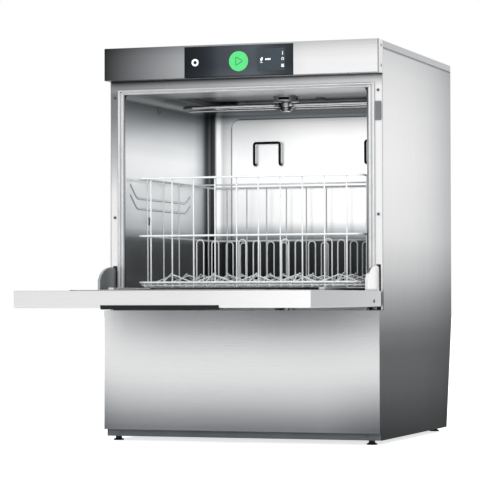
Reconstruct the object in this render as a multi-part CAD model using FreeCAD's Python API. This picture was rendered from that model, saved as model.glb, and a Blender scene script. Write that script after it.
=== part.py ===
import FreeCAD, Part
import math
import os

from FreeCAD import Vector

# Under-counter commercial dishwasher with a drop-down front door.
# Millimetres. X runs left to right with 0 in the middle of the width, Y runs from the front face (0)
# to the back, Z runs up from the floor. The door is modelled open, lying level, and the rack is
# modelled pushed right in. The finished pieces are moved along Y so that the origin lies on the
# floor in the middle of the space the machine takes up with its door open.

# ---- driving dimensions ----
WIDTH = 600.0
DEPTH = 606.0
HEIGHT = 825.0
SHEET = 1.5
HALF = WIDTH / 2

BASE_Z = 8.5            # underside of the cabinet, above the adjustable feet
PLINTH_TOP = 23.5
PLINTH_Y = 18.0         # front of the plinth, set back under the lower panel
TRAY_HALF = 298.0       # half width of the floor tray, the front frame and the lower panel's folds
LOWER_PANEL_TOP = 273.0
HEADER_Z = 757.0        # underside of the control housing
LID_Z = 810.6
FRAME_Y = 35.0          # face of the front frame, behind the closed door
LOWER_EDGE_Y = 2.0      # front edge of the side panels below the door
REAR_FOOT_Y = 558.0     # the back wall leans forward to this depth at its lower edge
REAR_KNEE_Z = 247.0
INNER_HALF = HALF - SHEET

CHAMBER_HALF = 265.0    # inside half width of the wash chamber
CHAMBER_BACK = 567.0
CHAMBER_TOP = 735.0
CHAMBER_BOTTOM = 250.0
CHAMBER_CORNER = 27.0   # inside radius of the two upright back corners
CHAMBER_CEILING_R = 18.0

DOOR_HALF = 298.5
DOOR_T = 33.0
DOOR_OUT_Z = 280.0      # outer face of the open door
DOOR_IN_Z = DOOR_OUT_Z + DOOR_T
HINGE_Y = 8.0
HINGE_Z = 288.0
DOOR_HINGE_EDGE = 20.0
DOOR_FREE_EDGE = -460.0
FOOTPRINT_MIDDLE = (DEPTH + DOOR_FREE_EDGE) / 2
HINGE_PIN_R = 4.0
DOOR_SWING_R = 25.2     # the door's inner corner at the hinge is rolled to this radius about the pins
RUNNING_GAP = 0.05      # radial gap of a turning pin in its bore

EAR_X = (275.0, 280.0)  # fixed hinge ear, from inside to outside
CHEEK_X = (286.5, 292.0)  # hinge arm on the door, from inside to outside
CHEEK_FRONT = -55.0
SLOT_X = (284.5, 294.2)
SLOT_Z = (256.0, 366.5)

RECESS_HALF = 225.0     # raised part of the chamber's ceiling round the upper arms' bearing
RECESS_Y = (230.0, 480.0)
RECESS_TOP = 747.0

ARM_CENTRE = Vector(0, 320, 0)
ARM_HALF = 241.0
ARM_HALF_WIDE = 12.5
ARM_HUB_R = 17.0
UPPER_WASH_Z = (717.5, 725.5)   # bottom and top of each arm's bar
UPPER_RINSE_Z = 711.4           # underside of each rinse pipe
LOWER_WASH_Z = (269.0, 283.0)
LOWER_RINSE_Z = 286.5
RINSE_HALF = 226.0
UPPER_RINSE_R = 2.1
LOWER_RINSE_R = 4.5
LOWER_RINSE_TURN = 38.0         # degrees from the lower wash arm; the upper pair lies in line
POST_R = 9.0

RAIL_INNER = 216.0      # inner edge of the rails in the chamber and of the guides on the door
RACK_HALF = 250.0
RACK_Y = 300.0          # middle of the rack when it is pushed in
RACK_BASE_HALF = 249.0
RACK_BASE_Z = 331.5
RACK_MID_Z = 430.0
RACK_TOP_Z = 552.0
RACK_PITCH = 96.0       # one glass compartment
RING_R = 2.25
CROSS_R = 1.8
UPRIGHT_R = 1.6
FLOOR_WIRE_R = 1.6
RACK_CORNER_R = 22.0

GLASS_HALF = 118.7
GLASS_Z = (756.6, 821.0)
START_Z = 788.5
START_R = 20.7
POWER_X = -95.3
POWER_R = 8.0
BUTTON_GAP = 0.4
DISPLAY_X = (42.4, 100.9)
DISPLAY_Z = (766.4, 813.5)

TANK_HALF = 240.0
TANK_Y = (60.0, 545.0)
TANK_Z = 150.0
PUMP_Y = 300.0
PUMP_Z = 85.0

INLET_X = 200.0
INLET_Z = 62.0
INLET_R = 13.2
DRAIN_X = 120.0
DRAIN_Z = 48.0
DRAIN_R = 10.5
CABLE_X = -200.0
CABLE_Z = 62.0

FOOT_X = 277.0
FOOT_YS = (25.0, 535.0)
FOOT_R = 11.0
FOOT_NECK_R = 6.5
FOOT_STEM_R = 5.0

X_AXIS = Vector(1, 0, 0)
Y_AXIS = Vector(0, 1, 0)
Z_AXIS = Vector(0, 0, 1)


# ---- small helpers ----
def box(x, y, z):
    """Box from three (low, high) pairs."""
    return Part.makeBox(x[1] - x[0], y[1] - y[0], z[1] - z[0], Vector(x[0], y[0], z[0]))


def rod(start, direction, radius, length):
    return Part.makeCylinder(radius, length, Vector(*start), direction)


def ring(start, direction, outer, inner, length):
    return rod(start, direction, outer, length).cut(rod(start, direction, inner, length))


def cut_all(shape, tools):
    return shape.cut(Part.makeCompound(tools)) if tools else shape


def join(shapes):
    result = shapes[0]
    if len(shapes) > 1:
        result = result.fuse(shapes[1:])
    return result.removeSplitter()


def group(shapes):
    return Part.makeCompound(shapes)


def mirrored(shape):
    """The same piece on the other side of the middle of the width."""
    return shape.mirror(Vector(0, 0, 0), X_AXIS)


def both_sides(shape):
    return group([shape, mirrored(shape)])


def edges_where(shape, test):
    """Edges whose every end point passes the test."""
    return [e for e in shape.Edges if all(test(v.Point) for v in e.Vertexes)]


def near(value, target):
    return abs(value - target) < 0.01


def plate_yz(points, x0, thickness):
    """Flat plate lying across X, from an outline of (y, z) points."""
    outline = [Vector(x0, y, z) for y, z in points]
    face = Part.Face(Part.makePolygon(outline + outline[:1]))
    return face.extrude(Vector(thickness, 0, 0))


def rounded_plate(x, y, z, radius, axis):
    """Box whose four edges along the given axis are rounded."""
    solid = box(x, y, z)
    along = {"x": X_AXIS, "y": Y_AXIS, "z": Z_AXIS}[axis]
    chosen = [e for e in solid.Edges if abs(e.tangentAt(e.FirstParameter).dot(along)) > 0.99]
    return solid.makeFillet(radius, chosen)


def rounded_path(points, radius):
    """Path through the points with each corner turned into an arc."""
    points = [Vector(*p) for p in points]
    edges = []
    last = points[0]
    for before, corner, after in zip(points, points[1:], points[2:]):
        into = (corner - before).normalize()
        out = (after - corner).normalize()
        turn = into.getAngle(out)
        if turn < 0.01:
            continue
        reach = radius * math.tan(turn / 2)
        start = corner - into * reach
        end = corner + out * reach
        middle_way = (out - into).normalize()
        centre = corner + middle_way * (radius / math.cos(turn / 2))
        middle = centre - middle_way * radius
        if (start - last).Length > 0.01:
            edges.append(Part.makeLine(last, start))
        edges.append(Part.Arc(start, middle, end).toShape())
        last = end
    edges.append(Part.makeLine(last, points[-1]))
    return Part.Wire(edges)


def tube(points, bend_radius, radius):
    """Round wire or pipe along a path with rounded corners."""
    path = rounded_path(points, bend_radius)
    first = path.Edges[0]
    direction = first.tangentAt(first.FirstParameter)
    circle = Part.Wire(Part.makeCircle(radius, Vector(*points[0]), direction))
    return path.makePipeShell([circle], True, True)


def moved(shape, offset):
    copy = shape.copy()
    copy.translate(offset)
    return copy


# ---- outer casing ----
def base_frame():
    """Folded floor tray with a nut boss over each foot."""
    rear_y = 552
    rim_z = PLINTH_TOP - 0.5
    outer = box((-TRAY_HALF, TRAY_HALF), (PLINTH_Y, rear_y), (BASE_Z, rim_z))
    inner = box((-TRAY_HALF + SHEET, TRAY_HALF - SHEET), (PLINTH_Y + SHEET, rear_y - SHEET),
                (BASE_Z + SHEET, rim_z + 1))
    parts = [outer.cut(inner)]
    for x in (-FOOT_X, FOOT_X):
        for y in FOOT_YS:
            parts.append(rod((x, y, BASE_Z + SHEET), Z_AXIS, 9, 14).common(outer))
    for y in (180, 400):
        parts.append(box((-TRAY_HALF + 2, TRAY_HALF - 2), (y, y + 20), (BASE_Z + SHEET, 16)))
    tray = join(parts)
    bores = [
        rod((x, y, 0), Z_AXIS, FOOT_STEM_R + RUNNING_GAP, 40)
        for x in (-FOOT_X, FOOT_X)
        for y in FOOT_YS
    ]
    return cut_all(tray, bores)


def side_panel():
    """Right side panel: one skin, stepped back behind the door and at the plinth, with folded edges."""
    top = LID_Z - 0.6
    outline = [
        (PLINTH_Y, BASE_Z), (REAR_FOOT_Y, BASE_Z), (DEPTH, REAR_KNEE_Z), (DEPTH, top),
        (FRAME_Y, top), (FRAME_Y, LOWER_PANEL_TOP), (LOWER_EDGE_Y, LOWER_PANEL_TOP),
        (LOWER_EDGE_Y, PLINTH_TOP), (PLINTH_Y, PLINTH_TOP),
    ]
    skin = plate_yz(outline, INNER_HALF, SHEET)
    top_fold = box((284, INNER_HALF), (60, 600), (top - SHEET, top))
    rear_fold = box((286, INNER_HALF), (DEPTH - 2 * SHEET - 0.2, DEPTH - SHEET - 0.2), (260, 800))
    return join([skin, top_fold, rear_fold])


def rear_outline():
    slope = (DEPTH - REAR_FOOT_Y) / (REAR_KNEE_Z - BASE_Z)
    inset = SHEET * math.hypot(1, slope)
    low = BASE_Z + 1
    return [
        (REAR_FOOT_Y + slope, low), (DEPTH, REAR_KNEE_Z), (DEPTH, LID_Z - 0.6),
        (DEPTH - SHEET, LID_Z - 0.6), (DEPTH - SHEET, REAR_KNEE_Z + SHEET * slope / 2),
        (REAR_FOOT_Y + slope - inset, low),
    ]


def rear_panel():
    """Back wall with louvres, leaning forward below the knee, pierced for water, drain and power."""
    half = INNER_HALF - 0.2
    wall = plate_yz(rear_outline(), -half, 2 * half)
    slots = []
    for row in range(6):
        for column in range(3):
            x = -190 + column * 150
            z = 620 + row * 16
            slots.append(rounded_plate((x, x + 80), (DEPTH - 4, DEPTH + 1), (z, z + 5), 2.4, "y"))
    slots.append(rod((INLET_X, 540, INLET_Z), Y_AXIS, INLET_R + 1.5, 60))
    slots.append(rod((DRAIN_X, 540, DRAIN_Z), Y_AXIS, DRAIN_R + 1.5, 60))
    slots.append(rod((CABLE_X, 540, CABLE_Z), Y_AXIS, 9.2, 60))
    return cut_all(wall, slots)


def top_cover():
    """Lid with a turned-down rim."""
    front = FRAME_Y + 0.3
    outer = box((-HALF, HALF), (front, DEPTH), (LID_Z, HEIGHT))
    top_edges = edges_where(outer, lambda p: near(p.z, HEIGHT) and p.y > front + 1)
    side_edges = [
        e for e in outer.Edges
        if all(near(v.Z, HEIGHT) for v in e.Vertexes) and near(abs(e.CenterOfMass.x), HALF)
    ]
    outer = outer.makeFillet(2.0, top_edges + side_edges)
    inner = box((-INNER_HALF, INNER_HALF), (front + SHEET, DEPTH - SHEET), (LID_Z - 1, HEIGHT - SHEET))
    return outer.cut(inner)


def control_fascia():
    """Open-backed housing across the top front, cut out for the glass."""
    outer = box((-HALF, HALF), (0, FRAME_Y), (HEADER_Z, HEIGHT))
    front_edges = [
        e for e in outer.Edges
        if near(e.CenterOfMass.y, 0) and not near(e.CenterOfMass.z, HEADER_Z)
    ]
    outer = outer.makeFillet(2.5, front_edges)
    inner = box((-INNER_HALF, INNER_HALF), (SHEET, FRAME_Y + 1), (HEADER_Z + SHEET, HEIGHT - SHEET))
    window = box((-GLASS_HALF - 0.5, GLASS_HALF + 0.5), (-1, 4.4), (HEADER_Z - 2, GLASS_Z[1] + 0.5))
    screw_holes = [rod((sign * (HALF - 4), 22, z), X_AXIS * sign, 3.7, 6)
                   for sign in (-1, 1) for z in (772, 813)]
    return cut_all(outer.cut(inner), [window] + screw_holes)


def lower_front_panel():
    """Fixed panel below the door, folded back along its top, bottom and sides."""
    front = rounded_plate((-HALF, HALF), (0, LOWER_EDGE_Y - 0.3), (PLINTH_TOP, LOWER_PANEL_TOP), 1.0, "y")
    shell = box((-TRAY_HALF, TRAY_HALF), (0.5, 13), (PLINTH_TOP + 0.3, LOWER_PANEL_TOP))
    hollow = box((-TRAY_HALF + SHEET, TRAY_HALF - SHEET), (SHEET, 14),
                 (PLINTH_TOP + 0.3 + SHEET, LOWER_PANEL_TOP - SHEET))
    front = front.cut(box((-290, 290), (SHEET, 3), (PLINTH_TOP + 5, LOWER_PANEL_TOP - 5)))
    return join([front, shell.cut(hollow)]).cut(hollow)


def screw_head(centre, direction, radius, height):
    head = rod(centre, direction, radius, height)
    tip = Vector(*centre) + direction * height
    if abs(direction.x) > 0.5:
        slot = box((-0.6, 0.6), (-radius * 0.7, radius * 0.7), (-0.4, 0.4))
    else:
        slot = box((-radius * 0.7, radius * 0.7), (-0.6, 0.6), (-0.4, 0.4))
    slot.translate(tip)
    return head.cut(slot)


def casing_screws():
    """Slotted screws of the control housing, the front frame and the plinth."""
    heads = []
    for sign in (-1, 1):
        for z in (772, 813):
            heads.append(screw_head((sign * (HALF - 2.6), 22, z), X_AXIS * sign, 3.5, 2.4))
        for z in (469, 723):
            heads.append(screw_head((sign * 289.5, FRAME_Y - 0.05, z), -Y_AXIS, 2.6, 1.4))
        heads.append(screw_head((sign * 270, PLINTH_Y - 0.05, 17), -Y_AXIS, 3.0, 1.2))
        heads.append(rod((sign * 230, 20, HEADER_Z - 0.05), -Z_AXIS, 2.4, 0.7))
    return group(heads)


# ---- front frame and door seal ----
def front_frame():
    """Sheet frame around the opening, slotted for the door's hinge arms."""
    y = (FRAME_Y, FRAME_Y + SHEET)
    height = (242, 806)
    face = box((-TRAY_HALF, TRAY_HALF), y, height)
    opening = box((-269.7, 269.7), (30, 40), (262, 730.5))
    returns = [box((TRAY_HALF - SHEET, TRAY_HALF), (FRAME_Y, 60), height),
               box((-TRAY_HALF, SHEET - TRAY_HALF), (FRAME_Y, 60), height)]
    cuts = [opening]
    for sign in (-1, 1):
        slot_x = sorted((sign * SLOT_X[0], sign * SLOT_X[1]))
        cuts.append(box(slot_x, (30, 40), SLOT_Z))
        ear_x = sorted((sign * (EAR_X[0] - 0.2), sign * (EAR_X[1] + 0.2)))
        cuts.append(box(ear_x, (30, 40), (249, 277)))
    return cut_all(join([face] + returns), cuts)


def hinge_slot_seals():
    """Rubber lips along the outer edge of the hinge arm slots."""
    lip = box((292.2, SLOT_X[1]), (FRAME_Y + 0.1, FRAME_Y + 1.4), (SLOT_Z[0] + 2, SLOT_Z[1] - 4))
    return both_sides(lip)


def arch(outer_half, inner_half, outer_top, inner_top, bottom, y):
    """Three-sided strip: two legs and a head, open below."""
    whole = box((-outer_half, outer_half), y, (bottom, outer_top))
    return whole.cut(box((-inner_half, inner_half), (y[0] - 1, y[1] + 1), (bottom - 1, inner_top)))


def seal_carrier():
    """Folded steel strip that holds the door seal, running into the chamber's mouth."""
    y = (FRAME_Y - 0.6, FRAME_Y)
    face = arch(283, 268.2, 739.5, 729, LOWER_PANEL_TOP, y)
    lip = arch(269.4, 268.2, 730.2, 729, LOWER_PANEL_TOP, (FRAME_Y - 0.6, FRAME_Y + SHEET))
    holes = [rod((sign * 276, 30, 735), Y_AXIS, 1.6, 8) for sign in (-1, 1)]
    return cut_all(join([face, lip]), holes + [box((-290, 290), (FRAME_Y, 40), (200, 262))])


def door_gasket():
    """Two low rubber ridges on the carrier."""
    y = (FRAME_Y - 1.6, FRAME_Y - 0.65)
    outer = arch(281.5, 277.5, 738, 735.6, LOWER_PANEL_TOP + 1, y)
    inner = arch(274.2, 270.2, 732.4, 730.6, LOWER_PANEL_TOP + 1, y)
    return group([outer, inner])


def door_catch():
    """Sprung catch block on the right column."""
    block = rounded_plate((283.2, 296.1), (FRAME_Y - 1.6, FRAME_Y - 0.05), (661.5, 699.7), 1.2, "y")
    return block.cut(rounded_plate((287.5, 293), (FRAME_Y - 2, FRAME_Y - 0.9), (667, 694), 1.0, "y"))


def hinge_ears():
    """Fixed plates that carry the door's pins, with the blocks that hold them behind the frame."""
    outline = [(60, 250), (60, 272.5), (30, 272.5), (16, 290), (16, 262), (24, 250)]
    plate = plate_yz(outline, EAR_X[0], EAR_X[1] - EAR_X[0])
    plate = plate.cut(box((270, 290), (0, 16.5), (200, 281)))
    eye = rod((EAR_X[0], HINGE_Y, HINGE_Z), X_AXIS, 7.2, EAR_X[1] - EAR_X[0])
    neck_outline = [(HINGE_Y, HINGE_Z - 7.2), (HINGE_Y + 5, HINGE_Z + 5.2), (17, 290), (22, 262),
                    (14.5, 262), (14.5, 275)]
    neck = plate_yz(neck_outline, EAR_X[0], EAR_X[1] - EAR_X[0])
    block = box((270, 283), (37, 60), (250, 262))
    ear = join([plate, eye, neck, block])
    ear = ear.cut(rod((265, HINGE_Y, HINGE_Z), X_AXIS, HINGE_PIN_R + RUNNING_GAP, 20))
    return both_sides(ear)


# ---- wash chamber and what is fixed in it ----
def chamber_body(half, back, top, corner, ceiling_radius, front, bottom):
    body = box((-half, half), (front, back), (bottom, top))
    upright = [e for e in body.Edges
               if near(e.CenterOfMass.y, back) and near(abs(e.CenterOfMass.x), half)]
    body = body.makeFillet(corner, upright)
    ceiling = [e for e in body.Edges
               if all(near(v.Z, top) for v in e.Vertexes) and not near(e.CenterOfMass.y, front)]
    return body.makeFillet(ceiling_radius, ceiling)


def wash_chamber():
    """Deep-drawn liner, open in front and below, with a raised ceiling and lines pressed in its sides."""
    outer = chamber_body(CHAMBER_HALF + SHEET, CHAMBER_BACK + SHEET, CHAMBER_TOP + SHEET,
                         CHAMBER_CORNER + SHEET, CHAMBER_CEILING_R + SHEET, FRAME_Y + SHEET + 0.1,
                         CHAMBER_BOTTOM)
    inner = chamber_body(CHAMBER_HALF, CHAMBER_BACK, CHAMBER_TOP, CHAMBER_CORNER,
                         CHAMBER_CEILING_R, FRAME_Y, CHAMBER_BOTTOM - 1)
    raised = rounded_plate((-RECESS_HALF - SHEET, RECESS_HALF + SHEET),
                           (RECESS_Y[0] - SHEET, RECESS_Y[1] + SHEET),
                           (CHAMBER_TOP, RECESS_TOP + SHEET), 20 + SHEET, "z")
    hollow = rounded_plate((-RECESS_HALF, RECESS_HALF), RECESS_Y, (CHAMBER_TOP - 1, RECESS_TOP), 20, "z")
    shell = join([outer, raised]).cut(inner).cut(hollow)
    post_hole = rod((0, ARM_CENTRE.y, 700), Z_AXIS, POST_R, 60)
    shell = shell.cut(post_hole)
    beads = []
    bead_r = 1.9
    for sign in (-1, 1):
        x = sign * (CHAMBER_HALF + 0.3)
        for z in (490, 512):
            beads.append(tube([(x, 62, z + 28), (x, 100, z), (x, 400, z), (x, 428, z + 16)], 30, bead_r))
    return join([shell] + beads)


def rear_baffle():
    """Removable splash panel over the back wall."""
    body = rounded_plate((-213, 213), (564.6, 566.8), (300, 713), 24, "y")
    front_edges = [e for e in body.Edges if near(e.CenterOfMass.y, 564.6)]
    return body.makeFillet(0.9, front_edges)


def baffle_handles():
    """Two black wire grips that lift the splash panel out."""
    grips = []
    for middle in (-122, 145):
        left = middle - 31
        right = middle + 31
        grips.append(tube([(left, 564.5, 606), (left, 553, 606), (left, 553, 656),
                           (right, 553, 656), (right, 553, 606), (right, 564.5, 606)], 5, 3))
    return group(grips)


def chamber_plugs():
    """Probe plug and a small clip on the left wall, and a round plug in the raised ceiling."""
    plug = rod((-CHAMBER_HALF + 0.05, 171, 465), X_AXIS, 8, 2.4)
    nub = rod((-CHAMBER_HALF + 2.4, 171, 465), X_AXIS, 4, 3)
    clip = box((-CHAMBER_HALF + 0.05, -CHAMBER_HALF + 4), (227, 235), (704, 716))
    ceiling_plug = rod((38, 455, RECESS_TOP - 5.6), Z_AXIS, 11, 5.5)
    return group([join([plug, nub]), clip, ceiling_plug])


def rack_rails():
    """Angle rails the rack slides on, one down each side of the chamber."""
    tread = box((RAIL_INNER, 264.5), (50, 560), (318.5, 320))
    upstand = box((263, 264.5), (50, 538), (296, 320))
    slots = [rounded_plate((244, 256), (y, y + 40), (318, 321), 5.5, "z") for y in range(80, 520, 70)]
    tread = tread.cut(box((250, 266), (537, 561), (318, 321)))
    return both_sides(cut_all(join([tread, upstand]), slots))


def bearing_housing():
    """Round block under the ceiling with four openings that let wash water into the upper arm."""
    block = rod((0, 0, 728.7), Z_AXIS, 28, 12.3)
    openings = []
    for quarter in range(4):
        opening = box((-12.0, 12.0), (-30, -14), (732.6, 737.8))
        opening.rotate(Vector(0, 0, 0), Z_AXIS, 6 + 90 * quarter)
        openings.append(opening)
    return moved(cut_all(block, openings), ARM_CENTRE)


def arm_posts():
    """Bearing spindles of the upper and lower arms, with their retaining nuts."""
    nut_r = 10.5
    nut_bottom = UPPER_RINSE_Z - 4
    collar_z = 740
    upper = join([
        rod((0, ARM_CENTRE.y, nut_bottom + 0.5), Z_AXIS, POST_R, RECESS_TOP + 2 - nut_bottom - 0.5),
        rod((0, ARM_CENTRE.y, collar_z), Z_AXIS, 22, RECESS_TOP - 0.1 - collar_z),
        rod((0, ARM_CENTRE.y, nut_bottom), Z_AXIS, nut_r, 3),
        bearing_housing(),
    ])
    foot_z = 236
    lower = join([
        rod((0, ARM_CENTRE.y, foot_z), Z_AXIS, POST_R, 68),
        rod((0, ARM_CENTRE.y, foot_z), Z_AXIS, 20, 31),
        rod((0, ARM_CENTRE.y, 301), Z_AXIS, 14, 4),
    ])
    return group([upper, lower])


def wash_arm_shape(z):
    """Flat hollow arm with sloping tips, a round hub and a row of slotted jets."""
    inset = 26
    bottom, top = z
    height = top - bottom
    outline = [(-ARM_HALF, 0), (-ARM_HALF + inset, -ARM_HALF_WIDE), (ARM_HALF - inset, -ARM_HALF_WIDE),
               (ARM_HALF, 0), (ARM_HALF - inset, ARM_HALF_WIDE), (-ARM_HALF + inset, ARM_HALF_WIDE)]
    corners = [Vector(x, y, bottom) for x, y in outline]
    bar = Part.Face(Part.makePolygon(corners + corners[:1])).extrude(Vector(0, 0, height))
    bar = bar.makeFillet(3, [e for e in bar.Edges if near(e.CenterOfMass.z, top)
                             or near(e.CenterOfMass.z, bottom)])
    hub = rod((0, 0, bottom - 1), Z_AXIS, ARM_HUB_R, height + 2)
    jets = []
    for step in range(5):
        for sign in (-1, 1):
            x = sign * (50 + 40 * step)
            jets.append(rod((x, 2.5 * sign, bottom - 1), Z_AXIS, 2.2, height + 2))
    bore = rod((0, 0, bottom - 5), Z_AXIS, POST_R + RUNNING_GAP, height + 10)
    return cut_all(join([bar, hub]), jets + [bore])


def rinse_arm_shape(z, radius, turn):
    """Thin pipe with a row of jets through a short round hub."""
    pipe = rod((-RINSE_HALF, 0, z + radius), X_AXIS, radius, 2 * RINSE_HALF)
    hub = rod((0, 0, z - 0.5), Z_AXIS, 13, 2 * radius + 1)
    jets = [rod((x, 0, z - 1), Z_AXIS, 1.0, 2 * radius + 2) for x in (-190, -130, -70, 70, 130, 190)]
    arm = cut_all(join([pipe, hub]), jets)
    arm = arm.cut(rod((0, 0, z - 5), Z_AXIS, POST_R + RUNNING_GAP, 2 * radius + 10))
    arm.rotate(Vector(0, 0, 0), Z_AXIS, turn)
    return arm


def upper_wash_arm():
    return moved(wash_arm_shape(UPPER_WASH_Z), ARM_CENTRE)


def upper_rinse_arm():
    return moved(rinse_arm_shape(UPPER_RINSE_Z, UPPER_RINSE_R, 0), ARM_CENTRE)


def lower_wash_arm():
    return moved(wash_arm_shape(LOWER_WASH_Z), ARM_CENTRE)


def lower_rinse_arm():
    return moved(rinse_arm_shape(LOWER_RINSE_Z, LOWER_RINSE_R, LOWER_RINSE_TURN), ARM_CENTRE)


# ---- tank and machinery below the chamber ----
def tank_body(half, y, z):
    body = box((-half, half), y, z)
    lower = [e for e in body.Edges if not near(e.CenterOfMass.z, z[1])]
    return body.makeFillet(22, lower)


def wash_tank():
    """Water tank with a flange that carries the chamber."""
    outer = tank_body(TANK_HALF, TANK_Y, (TANK_Z, CHAMBER_BOTTOM - SHEET))
    flange = box((-266.5, 266.5), (FRAME_Y + 3, CHAMBER_BACK + SHEET),
                 (CHAMBER_BOTTOM - 2 * SHEET, CHAMBER_BOTTOM - 0.02))
    y_in = (TANK_Y[0] + SHEET, TANK_Y[1] - SHEET)
    inner = tank_body(TANK_HALF - SHEET, y_in, (TANK_Z + SHEET, CHAMBER_BOTTOM + 1))
    body = join([outer, flange]).cut(inner)
    holes = [
        rod((TANK_HALF - 20, 470, z), X_AXIS, 4.3, 40) for z in (178, 198)
    ]
    holes.append(rod((-130, PUMP_Y, 140), Z_AXIS, 18.2, 20))
    holes.append(rod((DRAIN_X, 440, 140), Z_AXIS, 12.2, 20))
    post_base = rod((0, ARM_CENTRE.y, TANK_Z + 0.5), Z_AXIS, 16, 85)
    return join([cut_all(body, holes), post_base])


def tank_strainers():
    """Two slotted covers that keep food out of the tank."""
    cover = box((0.6, 262), (45, 539), (250.6, 252.1))
    cuts = [rod((0, ARM_CENTRE.y, 240), Z_AXIS, 21, 20), rod((0, 130, 240), Z_AXIS, 52, 20)]
    for column in range(6):
        for row in range(9):
            x = 30 + column * 38
            y = 64 + row * 53
            clear_of_post = math.hypot(x + 14, y + 2 - ARM_CENTRE.y) > 44
            clear_of_basket = math.hypot(x + 14, y + 2 - 130) > 76
            if clear_of_post and clear_of_basket:
                cuts.append(box((x, x + 28), (y, y + 5), (249, 254)))
    return both_sides(cut_all(cover, cuts))


def filter_basket():
    """Round fine filter that lifts out, with a rim that sits on the covers."""
    wall = ring((0, 130, 168), Z_AXIS, 49, 47.5, 85)
    floor = rod((0, 130, 168), Z_AXIS, 49, 1.5)
    rim = ring((0, 130, 252.2), Z_AXIS, 57, 47.5, 1.5)
    grip = tube([(-30, 130, 251.5), (-30, 130, 265), (30, 130, 265), (30, 130, 251.5)], 6, 2)
    cross = box((-48, 48), (127, 133), (250.5, 252.3))
    return join([wall, floor, rim, cross, grip])


def tank_heater():
    """Bent heating rod with its flange on the tank wall."""
    loop = tube([(TANK_HALF + 18, 470, 178), (-170, 470, 178), (-170, 400, 178), (150, 400, 178),
                 (150, 400, 198), (150, 470, 198), (TANK_HALF + 18, 470, 198)], 9.5, 4)
    flange = rounded_plate((TANK_HALF + 0.1, TANK_HALF + 4), (450, 490), (168, 208), 6, "x")
    flange = cut_all(flange, [rod((TANK_HALF - 2, 470, z), X_AXIS, 4.05, 10) for z in (178, 198)])
    return group([loop, flange])


def wash_pump_casing():
    """Pump volute with its suction neck and its upright delivery neck."""
    shell = rod((-70, PUMP_Y, PUMP_Z), X_AXIS, 44, 34)
    suction = tube([(-65, PUMP_Y, PUMP_Z), (-130, PUMP_Y, PUMP_Z), (-130, PUMP_Y, TANK_Z - 0.1)], 24, 18)
    delivery = rod((-53, PUMP_Y + 34, PUMP_Z), Z_AXIS, 11, 40)
    body = join([shell, suction, delivery])
    chamber = rod((-67.5, PUMP_Y, PUMP_Z), X_AXIS, 41, 29)
    bore_in = tube([(-66, PUMP_Y, PUMP_Z), (-130, PUMP_Y, PUMP_Z), (-130, PUMP_Y, TANK_Z + 1)], 24, 15.5)
    bore_out = rod((-53, PUMP_Y + 34, PUMP_Z), Z_AXIS, 8.5, 60)
    shaft_hole = rod((-45, PUMP_Y, PUMP_Z), X_AXIS, 6, 12)
    return cut_all(body, [chamber, bore_in, bore_out, shaft_hole])


def wash_pump_motor():
    """Motor can with cooling ribs, a terminal box and a foot."""
    can = rod((-35.8, PUMP_Y, PUMP_Z), X_AXIS, 42, 140)
    ribs = [ring((x, PUMP_Y, PUMP_Z), X_AXIS, 46, 41, 2.5) for x in range(-20, 90, 9)]
    terminal = box((10, 60), (PUMP_Y - 22, PUMP_Y + 22), (PUMP_Z + 38, PUMP_Z + 58))
    foot = box((0, 70), (PUMP_Y - 30, PUMP_Y + 30), (24, 50))
    body = join([can, terminal, foot] + ribs)
    return body.cut(rod((-37, PUMP_Y, PUMP_Z), X_AXIS, 5 + RUNNING_GAP, 130))


def wash_pump_rotor():
    """Shaft and closed impeller."""
    shaft = rod((-60, PUMP_Y, PUMP_Z), X_AXIS, 5, 150)
    back = rod((-50, PUMP_Y, PUMP_Z), X_AXIS, 37, 3)
    vanes = []
    for step in range(6):
        vane = box((-63, -49), (PUMP_Y + 10, PUMP_Y + 36), (PUMP_Z - 1.5, PUMP_Z + 1.5))
        vane.rotate(Vector(0, PUMP_Y, PUMP_Z), X_AXIS, step * 60)
        vanes.append(vane)
    return join([shaft, back, rod((-63, PUMP_Y, PUMP_Z), X_AXIS, 12, 14)] + vanes)


def small_pump(x, y, z, radius, length):
    """Upright canned pump: head below, motor above."""
    return join([
        rod((x, y, z), Z_AXIS, radius, length),
        rod((x, y, z - 12), Z_AXIS, radius * 1.2, 14),
        rod((x, y, z + length), Z_AXIS, radius * 0.55, 8),
    ])


def drain_pump():
    body = small_pump(DRAIN_X, 440, 46, 24, 62)
    outlet = tube([(DRAIN_X, 440, DRAIN_Z - 6), (DRAIN_X, 500, DRAIN_Z - 6)], 6, 7)
    inlet = rod((DRAIN_X, 440, 112), Z_AXIS, 12, TANK_Z - 112 - 0.1)
    return join([body, outlet, inlet])


def drain_spigot():
    """Hose tail the waste pipe pushes on to."""
    tail = rod((DRAIN_X, 570, DRAIN_Z), Y_AXIS, DRAIN_R, 30)
    neck = rod((DRAIN_X, 547, DRAIN_Z), Y_AXIS, DRAIN_R - 1, 24)
    collar = rod((DRAIN_X, 540, DRAIN_Z), Y_AXIS, 16, 8)
    return join([tail, neck, collar]).cut(rod((DRAIN_X, 539, DRAIN_Z), Y_AXIS, 7.5, 62))


def inlet_valve():
    """Solenoid valve with a three-quarter inch male connection."""
    body = box((INLET_X - 18, INLET_X + 18), (505, 550), (INLET_Z - 16, INLET_Z + 16))
    coil = rod((INLET_X, 520, INLET_Z + 15), Z_AXIS, 15, 36)
    neck = rod((INLET_X, 549, INLET_Z), Y_AXIS, INLET_R - 1.4, 23)
    thread = rod((INLET_X, 571, INLET_Z), Y_AXIS, INLET_R, 29)
    body = join([body, coil, neck, thread])
    return body.cut(rod((INLET_X, 530, INLET_Z), Y_AXIS, 8.5, 71))


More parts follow.
